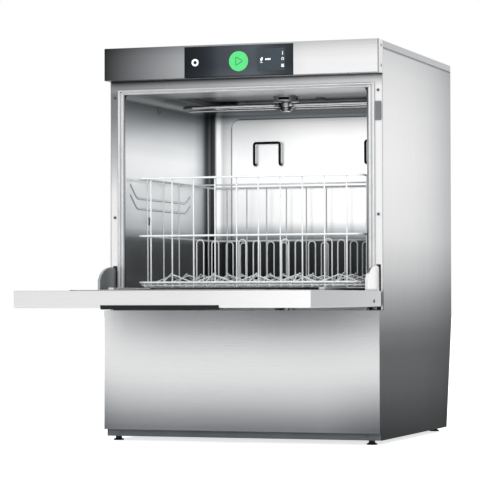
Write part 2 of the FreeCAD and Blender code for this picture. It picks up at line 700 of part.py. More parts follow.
def booster_boiler():
    """Fresh-water boiler, a lying drum with domed ends, on two saddles."""
    drum = rod((-232, 470, 92), X_AXIS, 50, 190)
    drum = drum.makeFillet(16, [e for e in drum.Edges if e.Closed])
    bands = [ring((x, 470, 92), X_AXIS, 52, 49.9, 12) for x in (-200, -90)]
    saddles = [box((x, x + 12), (440, 500), (24, 60)) for x in (-200, -90)]
    flange = rod((-43, 470, 92), X_AXIS, 26, 9)
    return join([drum, flange] + bands + saddles)


def rinse_pump():
    return small_pump(40, 490, 44, 20, 60)


def dosing_pumps():
    """Detergent and rinse-aid dosing heads side by side."""
    heads = []
    for x in (150, 205):
        case = rounded_plate((x, x + 46), (70, 112), (60, 118), 5, "z")
        face = rod((x + 23, 70.5, 92), -Y_AXIS, 18, 10)
        nozzles = [rod((x + 23 + dx, 74, 62), -Z_AXIS, 3, 14) for dx in (-8, 8)]
        heads.append(join([case, face] + nozzles))
    return group(heads)


def control_box():
    """Electrical box with a row of contactors inside its lid."""
    case = rounded_plate((-270, -120), (48, 150), (30, 138), 4, "z")
    lid = rounded_plate((-272, -118), (46, 152), (138.1, 141), 4, "z")
    glands = [rod((x, 149, 60), Y_AXIS, 7, 14) for x in (-250, -220, -190)]
    return group([join([case] + glands), lid])


def hoses():
    """Wash, drain and fresh-water hoses, each ending just clear of its spigots."""
    wash = tube([(-53, PUMP_Y + 34, 125.1), (-53, PUMP_Y + 34, 138.2), (-53, 400, 138.2)], 13, 11.5)
    upper_feed = tube([(281, 540, 60), (281, 540, 779), (281, ARM_CENTRE.y, 779),
                       (0, ARM_CENTRE.y, 779), (0, ARM_CENTRE.y, 750.5)], 24, 10)
    drain = tube([(DRAIN_X, 501, DRAIN_Z - 6), (DRAIN_X, 520, DRAIN_Z - 6), (DRAIN_X, 539, DRAIN_Z - 6)],
                 10, 9)
    fresh = tube([(INLET_X - 19, 520, INLET_Z), (100, 520, INLET_Z), (100, 520, 120), (0, 520, 120),
                  (-24, 470, 120)], 14, 6)
    return group([upper_feed, drain, fresh, wash])


def power_cable():
    """Cable gland in the back wall and the first length of the mains lead."""
    gland = rod((CABLE_X, 552, CABLE_Z), Y_AXIS, 9, 34)
    nut = Part.makeCylinder(12, 6, Vector(CABLE_X, 576, CABLE_Z), Y_AXIS)
    lead = tube([(CABLE_X, 585, CABLE_Z), (CABLE_X, 598, CABLE_Z), (CABLE_X, 598, 4.6),
                 (CABLE_X + 90, 598, 4.6)], 8, 4.5)
    return group([join([gland, nut]).cut(rod((CABLE_X, 584, CABLE_Z), Y_AXIS, 4.6, 10)), lead])


def foot(x, y):
    """Levelling foot: a flared pad with a threaded stem in the base frame."""
    pad = rod((x, y, 0), Z_AXIS, FOOT_R, 2.6)
    pad = pad.makeFillet(0.8, [e for e in pad.Edges if e.Closed])
    flare = Part.makeCone(FOOT_R - 1.5, FOOT_NECK_R, 2.2, Vector(x, y, 2.5))
    neck = rod((x, y, 4.6), Z_AXIS, FOOT_NECK_R, BASE_Z - 0.3 - 4.6)
    return join([pad, flare, neck, rod((x, y, BASE_Z - 1), Z_AXIS, FOOT_STEM_R, 27)])


# ---- controls ----
def control_glass():
    pane = rounded_plate((-GLASS_HALF, GLASS_HALF), (0, 4), GLASS_Z, 2.0, "y")
    holes = [
        rod((0, -1, START_Z), Y_AXIS, START_R + BUTTON_GAP, 6),
        rod((POWER_X, -1, START_Z), Y_AXIS, POWER_R + BUTTON_GAP, 6),
        box(DISPLAY_X, (-1, 5), DISPLAY_Z),
    ]
    return cut_all(pane, holes)


def display_module():
    gap = 0.15
    x = (DISPLAY_X[0] + gap, DISPLAY_X[1] - gap)
    z = (DISPLAY_Z[0] + gap, DISPLAY_Z[1] - gap)
    back = box((x[0] - 3, x[1] + 3), (4.1, 9), (z[0] - 3, z[1] + 3))
    return join([box(x, (0.1, 5), z), back])


def button(x, radius):
    cap = rod((x, -0.5, START_Z), Y_AXIS, radius, 4.2)
    cap = cap.makeFillet(0.5, [e for e in cap.Edges if e.Closed and near(e.CenterOfMass.y, -0.5)])
    return join([cap, rod((x, 3.5, START_Z), Y_AXIS, 3, 5)])


def start_button():
    return button(0, START_R)


def power_button():
    return button(POWER_X, POWER_R)


def control_board():
    """Circuit board behind the glass with a switch behind each button."""
    board = box((-112, 112), (13, 14.6), (764, 814))
    switches = [box((x - 3.5, x + 3.5), (10.2, 13.1), (START_Z - 3.5, START_Z + 3.5)) for x in (0, POWER_X)]
    chips = [box((x, x + 14), (14.5, 17), (780, 794)) for x in (-70, -40, 30, 66)]
    posts = [rod((x, 14.5, z), Y_AXIS, 3, 12) for x in (-106, 106) for z in (769, 809)]
    return join([board] + switches + chips + posts)


# ---- door ----
def ear_notches():
    """Room for the fixed hinge ears in the door's lower corners."""
    notches = []
    for sign in (-1, 1):
        x = sorted((sign * (EAR_X[0] - 1.2), sign * (EAR_X[1] + 1.2)))
        notches.append(box(x, (-3, 22), (DOOR_OUT_Z - 2, 308)))
    return notches


def cheek_slots(front, low):
    """Slots the hinge arms pass through, from depth front to the hinge edge and from height low up."""
    slots = []
    for sign in (-1, 1):
        x = sorted((sign * (CHEEK_X[0] - 0.3), sign * (CHEEK_X[1] + 0.3)))
        slots.append(box(x, (front, DOOR_HINGE_EDGE + 1), (low, DOOR_IN_Z + 3)))
    return slots


def beyond_swing(low):
    """What lies outside the rolled hinge corner of the door, from height low up."""
    corner = box((-HALF, HALF), (HINGE_Y, DOOR_HINGE_EDGE + 5), (low, DOOR_IN_Z + 5))
    return corner.cut(rod((-HALF, HINGE_Y, HINGE_Z), X_AXIS, DOOR_SWING_R, WIDTH))


def rolled_edge():
    """Curved strip that closes the inner skin's hinge corner."""
    half = DOOR_HALF - SHEET - 0.2
    roll = ring((-half, HINGE_Y, HINGE_Z), X_AXIS, DOOR_SWING_R, DOOR_SWING_R - SHEET, 2 * half)
    keep = box((-half, half), (HINGE_Y + 1, DOOR_HINGE_EDGE - SHEET - 0.2), (DOOR_IN_Z - 6, DOOR_IN_Z))
    return roll.common(keep)


def door_outer_panel():
    """Outer door skin, folded up on all four edges."""
    outer = box((-DOOR_HALF, DOOR_HALF), (DOOR_FREE_EDGE, DOOR_HINGE_EDGE), (DOOR_OUT_Z, DOOR_IN_Z - 0.6))
    outer = outer.makeFillet(2.5, [e for e in outer.Edges if near(e.CenterOfMass.z, DOOR_OUT_Z)])
    inner = box((-DOOR_HALF + SHEET, DOOR_HALF - SHEET),
                (DOOR_FREE_EDGE + SHEET, DOOR_HINGE_EDGE - SHEET), (DOOR_OUT_Z + SHEET, DOOR_IN_Z + 1))
    grip_pocket = box((-119.4, 119.4), (DOOR_FREE_EDGE - 1, -436.5), (DOOR_OUT_Z - 1, 285.3))
    pin_holes = [rod((sign * 296, HINGE_Y, HINGE_Z), X_AXIS * sign, HINGE_PIN_R, 1.1) for sign in (-1, 1)]
    screw_holes = [rod((sign * 296, -31, 291.6), X_AXIS * sign, 2.2, 3) for sign in (-1, 1)]
    cuts = [grip_pocket, beyond_swing(HINGE_Z)] + ear_notches() + cheek_slots(17, 303)
    return cut_all(outer.cut(inner), cuts + pin_holes + screw_holes)


def door_inner_panel():
    """Inner door skin: a tray with a raised field, let in behind the folded edges."""
    half = DOOR_HALF - SHEET - 0.2
    y = (DOOR_FREE_EDGE + SHEET + 0.2, DOOR_HINGE_EDGE - SHEET - 0.2)
    skin = box((-half, half), y, (DOOR_IN_Z - SHEET, DOOR_IN_Z))
    cover_half = DOOR_HALF - 0.05
    rim = box((-cover_half, cover_half), (DOOR_FREE_EDGE + 0.05, DOOR_HINGE_EDGE - 0.05),
              (DOOR_IN_Z - 0.55, DOOR_IN_Z))
    field = rounded_plate((-205, 205), (-425, -30), (DOOR_IN_Z - 0.1, DOOR_IN_Z + 1.6), 22, "z")
    field = field.makeFillet(0.8, [e for e in field.Edges if near(e.CenterOfMass.z, DOOR_IN_Z + 1.6)])
    tray = join([skin, rim, field]).cut(beyond_swing(HINGE_Z))
    return cut_all(join([tray, rolled_edge()]), cheek_slots(CHEEK_FRONT - 3, DOOR_IN_Z - 6))


def door_grip():
    """Black handle strip along the door's free edge, hollowed for the fingers."""
    body = box((-119, 119), (DOOR_FREE_EDGE, -437), (277, 285))
    body = body.makeFillet(1.5, [e for e in body.Edges if near(e.CenterOfMass.z, 277)])
    hollow = rod((-113, -445.5, 276.2), X_AXIS, 5.2, 226)
    return body.cut(hollow)


def door_cheeks():
    """Hinge arms standing on the inner skin, with a boss round each pin."""
    outline = [(CHEEK_FRONT, 305), (CHEEK_FRONT, 336), (-46, 347), (-30, 356), (-15, 361), (8, 364),
               (26, 362), (35, 352), (35, 318), (18.5, 305)]
    arm = plate_yz(outline, CHEEK_X[0], CHEEK_X[1] - CHEEK_X[0])
    arm = arm.makeFillet(2, [e for e in arm.Edges if e.Length < CHEEK_X[1] - CHEEK_X[0] + 0.1
                             and e.CenterOfMass.z > 315])
    stem = box(CHEEK_X, (2, 14), (HINGE_Z, 306))
    boss = rod((CHEEK_X[0], HINGE_Y, HINGE_Z), X_AXIS, 6.2, CHEEK_X[1] - CHEEK_X[0])
    foot_flange = box((CHEEK_X[0] - 12, CHEEK_X[0] + 1), (CHEEK_FRONT + 3, -5), (305, 307))
    shape = join([arm, stem, boss, foot_flange])
    return both_sides(shape.cut(rod((280, HINGE_Y, HINGE_Z), X_AXIS, HINGE_PIN_R, 20)))


def hinge_pins():
    pin = rod((273.4, HINGE_Y, HINGE_Z), X_AXIS, HINGE_PIN_R, 297 - 273.4)
    pin = pin.makeChamfer(0.6, [e for e in pin.Edges if e.Closed and near(e.CenterOfMass.x, 273.4)])
    return both_sides(pin)


def door_rack_guides():
    """Short rails near the hinge that the rack runs out on when the door is open."""
    front_y = -150
    top = 320
    rail = rounded_plate((RAIL_INNER, RAIL_INNER + 16), (front_y, -6), (DOOR_IN_Z + 0.05, top), 5, "z")
    rail = rail.makeFillet(1.5, [e for e in rail.Edges if near(e.CenterOfMass.z, top)])
    return both_sides(rail)


def door_screws():
    heads = []
    for sign in (-1, 1):
        heads.append(screw_head((sign * (DOOR_HALF + 0.02), -31, 291.6), X_AXIS * sign, 3.4, 1.1))
    return group(heads)


# ---- rack ----
def rack_half_at(z):
    """Half width of the rack's wire centre line at height z: the walls flare outwards."""
    share = (z - RACK_BASE_Z) / (RACK_TOP_Z - RACK_BASE_Z)
    low = RACK_BASE_HALF - RING_R
    high = RACK_HALF - RING_R
    return low + share * (high - low)


def rack_ring(z):
    """The bars and bends of one square hoop of wire with rounded corners."""
    half = rack_half_at(z)
    flat = half - RACK_CORNER_R
    pieces = []
    for turn in range(4):
        straight = rod((-flat, -half, z), X_AXIS, RING_R, 2 * flat)
        centre = Vector(flat, -flat, z)
        start = Vector(flat, -half, z)
        bend = Part.Arc(start, centre + Vector(math.sin(math.pi / 4), -math.cos(math.pi / 4), 0)
                        * RACK_CORNER_R, Vector(half, -flat, z)).toShape()
        circle = Part.Wire(Part.makeCircle(RING_R, start, X_AXIS))
        corner = Part.Wire([bend]).makePipeShell([circle], True, True)
        for piece in (straight, corner):
            piece.rotate(Vector(0, 0, 0), Z_AXIS, 90 * turn)
            pieces.append(piece)
    return pieces


def rack_rings():
    """Three square hoops, each of four straight bars and four bends, and a wire across the top."""
    pieces = []
    for z in (RACK_BASE_Z, RACK_MID_Z, RACK_TOP_Z):
        pieces += rack_ring(z)
    cross_z = RACK_TOP_Z - RING_R - CROSS_R + 0.1
    cross_y = UPRIGHT_R + CROSS_R + 0.2
    half = rack_half_at(RACK_TOP_Z)
    pieces.append(rod((-half, cross_y, cross_z), X_AXIS, CROSS_R, 2 * half))
    return moved(group(pieces), Vector(0, RACK_Y, 0))


def wire_between(start, end, radius):
    start = Vector(*start)
    end = Vector(*end)
    return Part.makeCylinder(radius, (end - start).Length, start, end - start)


def rack_uprights():
    """Upright wires just inside the rings: closely spaced in front and behind, wider at the sides."""
    inset = RING_R + UPRIGHT_R + 0.05
    low_z = RACK_BASE_Z - 10.5
    high_z = RACK_TOP_Z + RING_R
    low = rack_half_at(low_z) - inset
    high = rack_half_at(high_z) - inset
    wires = []
    for step in range(10):
        x = (step - 4.5) * RACK_PITCH / 2
        for sign in (-1, 1):
            wires.append(wire_between((x, sign * low, low_z), (x, sign * high, high_z), UPRIGHT_R))
    for step in range(5):
        y = (step - 2) * RACK_PITCH
        for sign in (-1, 1):
            wires.append(wire_between((sign * low, y, low_z), (sign * high, y, high_z), UPRIGHT_R))
    return moved(group(wires), Vector(0, RACK_Y, 0))


def rack_floor():
    """Floor grid: wires running front to back below wires running across."""
    reach = RACK_BASE_HALF - 9
    low_z = 320.6 + FLOOR_WIRE_R
    high_z = low_z + 2 * FLOOR_WIRE_R + 0.02
    wires = []
    for step in range(11):
        offset = (step - 5) * RACK_PITCH / 2
        inside = offset * 0.965
        wires.append(rod((inside, -reach, low_z), Y_AXIS, FLOOR_WIRE_R, 2 * reach))
        wires.append(rod((-reach, inside, high_z), X_AXIS, FLOOR_WIRE_R, 2 * reach))
    return moved(group(wires), Vector(0, RACK_Y, 0))


def rack_ridges():
    """Zigzag wires that rise to a point in the middle of each compartment."""
    low_z = 330.5
    wires = []
    for turned in (False, True):
        for row in range(5):
            across = (row - 2) * RACK_PITCH
            lift = 3.4 if turned else 0
            points = []
            for step in range(11):
                along = (step - 5) * RACK_PITCH / 2 * 0.96
                peak = step % 2 == 1
                z = low_z + lift + (17 if peak else 0)
                points.append((along, across, z))
            wire = tube(points, 5, 1.3)
            if turned:
                wire.rotate(Vector(0, 0, 0), Z_AXIS, 90)
            wires.append(wire)
    return wires


def rack_hairpins():
    """Tall loops that stand at the corners of the compartments."""
    loops = []
    for column in range(4):
        for row in range(4):
            x = (column - 1.5) * RACK_PITCH
            y = (row - 1.5) * RACK_PITCH + 7
            loops.append(tube([(x - 8, y, 328), (x - 8, y, 423), (x + 8, y, 423), (x + 8, y, 328)], 7, 1.5))
    return loops


def rack_inserts():
    """Wires that keep the glasses apart: pointed ridges below and hairpins between."""
    return moved(group(rack_ridges() + rack_hairpins()), Vector(0, RACK_Y, 0))


NODES = {
    "base_frame": base_frame,
    "side_panel_right": side_panel,
    "side_panel_left": lambda: mirrored(side_panel()),
    "rear_panel": rear_panel,
    "top_cover": top_cover,
    "control_fascia": control_fascia,
    "lower_front_panel": lower_front_panel,
    "casing_screws": casing_screws,
    "front_frame": front_frame,
    "hinge_slot_seals": hinge_slot_seals,
    "seal_carrier": seal_carrier,
    "door_gasket": door_gasket,
    "door_catch": door_catch,
    "hinge_ears": hinge_ears,
    "wash_chamber": wash_chamber,
    "rear_baffle": rear_baffle,
    "baffle_handles": baffle_handles,
    "chamber_plugs": chamber_plugs,
    "rack_rails": rack_rails,
    "arm_posts": arm_posts,
    "upper_wash_arm": upper_wash_arm,
    "upper_rinse_arm": upper_rinse_arm,
    "lower_wash_arm": lower_wash_arm,
    "lower_rinse_arm": lower_rinse_arm,
    "wash_tank": wash_tank,
    "tank_strainers": tank_strainers,
    "filter_basket": filter_basket,
    "tank_heater": tank_heater,
    "wash_pump_casing": wash_pump_casing,
    "wash_pump_motor": wash_pump_motor,
    "wash_pump_rotor": wash_pump_rotor,
    "drain_pump": drain_pump,
    "drain_spigot": drain_spigot,
    "inlet_valve": inlet_valve,
    "booster_boiler": booster_boiler,
    "rinse_pump": rinse_pump,
    "dosing_pumps": dosing_pumps,
    "control_box": control_box,
    "hoses": hoses,
    "power_cable": power_cable,
    "foot_front_left": lambda: foot(-FOOT_X, FOOT_YS[0]),
    "foot_front_right": lambda: foot(FOOT_X, FOOT_YS[0]),
    "foot_rear_left": lambda: foot(-FOOT_X, FOOT_YS[1]),
    "foot_rear_right": lambda: foot(FOOT_X, FOOT_YS[1]),
    "control_glass": control_glass,
    "display_module": display_module,
    "start_button": start_button,
    "power_button": power_button,
    "control_board": control_board,
    "door_outer_panel": door_outer_panel,
    "door_inner_panel": door_inner_panel,
    "door_grip": door_grip,
    "door_cheeks": door_cheeks,
    "hinge_pins": hinge_pins,
    "door_rack_guides": door_rack_guides,
    "door_screws": door_screws,
    "rack_rings": rack_rings,
    "rack_uprights": rack_uprights,
    "rack_floor": rack_floor,
    "rack_inserts": rack_inserts,
}

os.makedirs("parts", exist_ok=True)
for name, make in NODES.items():
    shape = moved(make(), Vector(0, -FOOTPRINT_MIDDLE, 0))
    shape.exportStep(os.path.join("parts", name + ".step"))
    print(name, "solids", len(shape.Solids), "valid", shape.isValid(), "volume", round(shape.Volume))
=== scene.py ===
import math

import bmesh
import bpy
from mathutils import Matrix, Vector


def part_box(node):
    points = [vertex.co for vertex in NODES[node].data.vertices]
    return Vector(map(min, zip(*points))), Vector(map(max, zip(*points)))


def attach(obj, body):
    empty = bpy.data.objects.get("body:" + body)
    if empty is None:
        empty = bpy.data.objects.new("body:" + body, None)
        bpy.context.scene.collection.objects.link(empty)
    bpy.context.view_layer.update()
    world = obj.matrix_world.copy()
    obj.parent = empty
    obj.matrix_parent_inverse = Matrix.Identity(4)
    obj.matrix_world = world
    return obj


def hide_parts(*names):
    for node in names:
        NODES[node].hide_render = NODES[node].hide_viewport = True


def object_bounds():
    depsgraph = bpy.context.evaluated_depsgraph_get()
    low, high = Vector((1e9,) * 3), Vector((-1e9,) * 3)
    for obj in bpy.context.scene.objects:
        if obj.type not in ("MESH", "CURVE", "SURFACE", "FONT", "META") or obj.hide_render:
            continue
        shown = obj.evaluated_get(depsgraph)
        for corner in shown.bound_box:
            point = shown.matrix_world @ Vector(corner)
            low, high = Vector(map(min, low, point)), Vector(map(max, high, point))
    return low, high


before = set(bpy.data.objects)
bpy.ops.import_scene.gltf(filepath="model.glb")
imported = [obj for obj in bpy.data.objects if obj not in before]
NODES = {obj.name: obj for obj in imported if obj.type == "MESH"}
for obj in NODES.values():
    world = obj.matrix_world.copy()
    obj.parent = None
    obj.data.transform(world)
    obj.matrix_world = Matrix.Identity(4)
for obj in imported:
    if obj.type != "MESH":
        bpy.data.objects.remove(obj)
CAD_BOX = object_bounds()

# All places and sizes are in metres. -Y is the front, +X the right side, Z runs up from the floor.
MM = 0.001
SHEET = 1.5 * MM
FRONT_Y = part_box("control_fascia")[0].y
TOP_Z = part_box("top_cover")[1].z
DOOR_LOW_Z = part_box("door_outer_panel")[0].z
LINER_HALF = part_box("wash_chamber")[1].x - SHEET
LINER_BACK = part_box("wash_chamber")[1].y - SHEET
BLOCK_Z = 0.7287                # underside of the upper arm's bearing block
POCKET_R = (23 * MM, 26.5 * MM)  # depth of that block's openings, as distances from its axis; painted shade darkens them

SHARP_ANGLE = math.radians(28)
COOL_SHEET = (0.96, 1.0, 1.045, 1)    # tint of brushed steel in its dark parts
COOL_LINER = (0.93, 1.0, 1.045, 1)

# The camera stands to the right of the front, a little above the floor, and has a long lens.
CAMERA_PLACE = (1.5824, FRONT_Y - 4.5829, 0.2985)
CAMERA_AZIMUTH = math.radians(19.019)
CAMERA_PITCH = math.radians(1.414)
CAMERA_ROLL = math.radians(0.113)
CAMERA_LENS = 176.1
FLOOR_REACH = 30.0
FLOOR_GLOW = 0.35               # light the floor gives to the part
FLOOR_GLOW_SEEN = 0.7           # light the camera sees from it


# ---------------------------------------------------------------- node graphs
def tone(level):
    """Linear value of a brightness given the way a screen shows it, 0 to 1."""
    return ((level + 0.055) / 1.055) ** 2.4 if level > 0.04 else level / 12.92


class Graph:
    """A material's node tree, with short calls for the nodes used here."""

    def __init__(self, name):
        self.material = bpy.data.materials.new(name)
        self.material.use_nodes = True
        self.tree = self.material.node_tree
        self.shader = self.tree.nodes["Principled BSDF"]
        self.coords = self.tree.nodes.new("ShaderNodeTexCoord").outputs["Object"]

    def new(self, kind, **settings):
        node = self.tree.nodes.new(kind)
        for key, value in settings.items():
            setattr(node, key, value)
        return node

    def plug(self, value, socket):
        if isinstance(value, bpy.types.NodeSocket):
            self.tree.links.new(value, socket)
        else:
            socket.default_value = value

    def set(self, **values):
        """Sets or links the shader's inputs: base_color becomes Base Color."""
        for key, value in values.items():
            title = key.replace("_", " ").title().replace("Ior", "IOR")
            self.plug(value, self.shader.inputs[title])

    def stretched(self, scale):
        node = self.new("ShaderNodeMapping")
        self.plug(self.coords, node.inputs["Vector"])
        node.inputs["Scale"].default_value = scale
        return node.outputs["Vector"]

    def noise(self, scale, detail=3.0, roughness=0.55, vector=None):
        node = self.new("ShaderNodeTexNoise")
        self.plug(vector or self.coords, node.inputs["Vector"])
        node.inputs["Scale"].default_value = scale
        node.inputs["Detail"].default_value = detail
        node.inputs["Roughness"].default_value = roughness
        return node.outputs["Fac"]

    def math(self, operation, a, b=0.0, clamp=False):
        node = self.new("ShaderNodeMath", operation=operation, use_clamp=clamp)
        self.plug(a, node.inputs[0])
        self.plug(b, node.inputs[1])
        return node.outputs[0]

    def spread(self, value, low, high, from_low=0.0, from_high=1.0):
        """value from [from_low, from_high] carried to [low, high]."""
        node = self.new("ShaderNodeMapRange")
        self.plug(value, node.inputs["Value"])
        node.inputs["From Min"].default_value = from_low
        node.inputs["From Max"].default_value = from_high
        node.inputs["To Min"].default_value = low
        node.inputs["To Max"].default_value = high
        return node.outputs["Result"]

    def place(self, axis):
        node = self.new("ShaderNodeSeparateXYZ")
        self.plug(self.coords, node.inputs[0])
        return node.outputs["XYZ".index(axis)]

    def normal(self, axis):
        geometry = self.new("ShaderNodeNewGeometry")
        node = self.new("ShaderNodeSeparateXYZ")
        self.plug(geometry.outputs["Normal"], node.inputs[0])
        return node.outputs["XYZ".index(axis)]

    def curve(self, value, stops):
        """Straight pieces through (place, value) stops, held level beyond the ends."""
        low = stops[0][0]
        span = stops[-1][0] - low
        ramp = self.new("ShaderNodeValToRGB")
        elements = ramp.color_ramp.elements
        while len(elements) < len(stops):
            elements.new(0.5)
        for element, (place, level) in zip(elements, stops):
            element.position = (place - low) / span
            element.color = (level, level, level, 1)
        self.plug(self.spread(value, 0, 1, low, low + span), ramp.inputs["Fac"])
        return ramp.outputs["Color"]

    def shade(self, axis, stops):
        """Brightness along an axis, from (place, screen brightness) stops."""
        value = self.place(axis) if isinstance(axis, str) else axis
        return self.curve(value, [(place, tone(level)) for place, level in stops])

    def times(self, a, b):
        node = self.new("ShaderNodeMix", data_type="RGBA", blend_type="MULTIPLY")
        node.inputs["Factor"].default_value = 1.0
        self.plug(a, node.inputs["A"])
        self.plug(b, node.inputs["B"])
        return node.outputs["Result"]

    def blend(self, factor, a, b):
        node = self.new("ShaderNodeMix", data_type="RGBA")
        self.plug(factor, node.inputs["Factor"])
        self.plug(a, node.inputs["A"])
        self.plug(b, node.inputs["B"])
        return node.outputs["Result"]

    def cooled(self, colour, tint):
        """Tinted where it is dark and left as it is where it is light."""
        return self.blend(self.curve(colour, ((0.15, 0.0), (0.75, 1.0))), self.times(colour, tint), colour)

    def painted_gap_shade(self, reach=0.006, dark=0.12):
        """Painted shade: near black in gaps and folds, white on open faces."""
        node = self.new("ShaderNodeAmbientOcclusion", samples=6)
        node.inputs["Distance"].default_value = reach
        return self.curve(node.outputs["AO"], ((0.35, dark), (0.95, 1.0)))

    def relief(self, height, strength, distance, edge=0.0008):
        """Surface relief on top of slightly rounded edges."""
        rounded = self.new("ShaderNodeBevel", samples=4)
        rounded.inputs["Radius"].default_value = edge
        node = self.new("ShaderNodeBump")
        node.inputs["Strength"].default_value = strength
        node.inputs["Distance"].default_value = distance
        self.plug(height, node.inputs["Height"])
        self.plug(rounded.outputs["Normal"], node.inputs["Normal"])
        self.plug(node.outputs["Normal"], self.shader.inputs["Normal"])


def grey(level):
    return (level, level, level, 1)


# ---------------------------------------------------------------- materials
def brushed_steel(name, light, grain="X", rough=0.3, tint=None):
    """Stainless sheet with fine parallel brushing along one axis and faint blotches.

    light(graph) gives the sheet's base colour: an even tone or the soft gradients of a studio.
    tint(graph) paints shade into the sheen that a sheet seen edge-on would otherwise have.
    """
    g = Graph(name)
    fine = [2400 if axis != grain else 9 for axis in "XYZ"]
    coarse = [260 if axis != grain else 1.5 for axis in "XYZ"]
    hair = g.noise(1.0, 2.0, 0.5, g.stretched(fine))
    streak = g.noise(1.0, 3.0, 0.6, g.stretched(coarse))
    cloud = g.noise(5.0, 2.0)
    grain_mix = g.math("ADD", g.math("MULTIPLY", hair, 0.65), g.math("MULTIPLY", streak, 0.35))
    colour = g.cooled(light(g), COOL_SHEET)
    colour = g.times(colour, g.curve(grain_mix, ((0.3, 0.95), (0.7, 1.0))))
    # Painted shade darkens gaps and folds.
    colour = g.times(g.times(colour, g.curve(cloud, ((0.3, 0.98), (0.7, 1.0)))), g.painted_gap_shade())
    roughness = g.math("ADD", g.spread(grain_mix, rough - 0.05, rough + 0.07, 0.3, 0.7),
                       g.spread(cloud, -0.02, 0.03, 0.3, 0.7))
    g.set(base_color=colour, metallic=1.0, roughness=roughness)
    if tint:
        g.set(specular_tint=tint(g))
    g.relief(grain_mix, 0.06, 0.0002)
    return g.material


def rolled_steel(name, light, rough=0.22, fill=0.0):
    """Smooth rolled sheet with faint mottling and a slight waviness.

    fill adds an even light of its own, for the inside of the chamber where no lamp reaches.
    """
    g = Graph(name)
    mottle = g.noise(40.0, 2.0)
    wave = g.noise(4.0, 1.0)
    colour = g.cooled(light(g), COOL_LINER)
    # Painted shade darkens gaps and folds.
    colour = g.times(g.times(colour, g.curve(mottle, ((0.3, 0.98), (0.7, 1.0)))), g.painted_gap_shade())
    roughness = g.spread(mottle, rough - 0.02, rough + 0.02, 0.3, 0.7)
    g.set(base_color=colour, metallic=1.0, roughness=roughness, emission_color=colour,
          emission_strength=fill)
    g.relief(wave, 0.05, 0.0005)
    return g.material


def even(level):
    return lambda g: g.shade("X", ((-1.0, level), (1.0, level)))


def moulded_plastic(name, colour, rough=0.45, grain=900.0, coat=0.0):
    """Plastic with a fine spark-eroded grain and small changes of tone."""
    g = Graph(name)
    pits = g.noise(grain, 2.0)
    mottle = g.noise(14.0, 3.0)
    base = g.times(colour, g.curve(mottle, ((0.3, 0.86), (0.7, 1.0))))
    g.set(base_color=base, roughness=g.spread(pits, rough - 0.08, rough + 0.1, 0.3, 0.7),
          coat_weight=coat, coat_roughness=0.12, specular_ior_level=0.2)
    g.relief(pits, 0.18, 0.0002, 0.0005)
    return g.material


def coated_wire(name):
    """White dipped plastic coating, slightly uneven, dulled where crockery rubs it."""
    g = Graph(name)
    mottle = g.noise(22.0, 3.0)
    ripple = g.noise(160.0, 2.0)
    worn = g.noise(60.0, 5.0, 0.7)
    base = g.times((0.84, 0.86, 0.87, 1), g.curve(mottle, ((0.3, 0.95), (0.7, 1.0))))
    base = g.blend(g.spread(worn, 0.0, 0.25, 0.64, 0.8), base, (0.66, 0.67, 0.66, 1))
    g.set(base_color=base, roughness=g.spread(mottle, 0.26, 0.4, 0.3, 0.7))
    g.relief(ripple, 0.2, 0.0004, 0.0003)
    return g.material


def soft_rubber(name, colour, rough=0.6):
    g = Graph(name)
    mottle = g.noise(30.0, 3.0)
    skin = g.noise(700.0, 2.0)
    base = g.times(colour, g.curve(mottle, ((0.3, 0.85), (0.7, 1.0))))
    g.set(base_color=base, roughness=g.spread(skin, rough - 0.1, rough + 0.1, 0.3, 0.7))
    g.relief(skin, 0.2, 0.0003, 0.0005)
    return g.material


def tinted_pane(name):
    """Dark blue-black glass of the control panel, with faint smears on a glossy face; a painted reflection
    brightens it across the middle and just above its lower edge, and a painted line of shade darkens the
    lower edge itself.
    """
    g = Graph(name)
    smear = g.noise(9.0, 4.0, 0.65)
    across = g.shade("X", ((-0.12, 0.14), (-0.08, 0.18), (-0.062, 0.22), (-0.042, 0.29), (0.03, 0.345),
                           (0.06, 0.29), (0.12, 0.2)))
    down = g.curve(g.place("Z"), ((TOP_Z - 0.0683, 0.3), (TOP_Z - 0.0655, 1.0), (TOP_Z - 0.045, 0.78),
                                  (TOP_Z - 0.01, 0.85)))
    base = g.times(g.times((0.82, 0.95, 1.1, 1), across), down)
    base = g.times(base, g.curve(smear, ((0.3, 0.93), (0.7, 1.0))))
    g.set(base_color=base, roughness=g.spread(smear, 0.2, 0.32, 0.4, 0.75), specular_ior_level=0.0)
    g.relief(smear, 0.03, 0.0002, 0.0005)
    return g.material


def lit_green(name):
    """Back-lit translucent cap with a faint diffuser dot pattern."""
    g = Graph(name)
    dots = g.new("ShaderNodeTexVoronoi")
    g.plug(g.coords, dots.inputs["Vector"])
    dots.inputs["Scale"].default_value = 480
    speck = g.curve(dots.outputs["Distance"], ((0.0, 1.0), (0.7, 0.8)))
    glow = g.times((0.14, 0.82, 0.27, 1), speck)
    g.set(base_color=g.times((0.02, 0.12, 0.04, 1), speck), roughness=0.5, specular_ior_level=0.0,
          emission_strength=1.0, emission_color=glow)
    g.relief(dots.outputs["Distance"], 0.1, 0.0002, 0.0004)
    return g.material


def print_ink(name, colour, glow=0.0):
    g = Graph(name)
    mottle = g.noise(400.0, 2.0)
    base = g.times(colour, g.curve(mottle, ((0.3, 0.92), (0.7, 1.0))))
    g.set(base_color=base, roughness=g.spread(mottle, 0.4, 0.55), emission_strength=glow,
          emission_color=base)
    return g.material


def cast_metal(name, colour, rough=0.4):
    g = Graph(name)
    pits = g.noise(260.0, 4.0)
    mottle = g.noise(16.0, 3.0)
    base = g.times(colour, g.curve(mottle, ((0.3, 0.85), (0.7, 1.0))))
    g.set(base_color=base, metallic=0.9, roughness=g.spread(pits, rough - 0.08, rough + 0.12, 0.3, 0.7))
    g.relief(pits, 0.35, 0.0004, 0.0006)
    return g.material


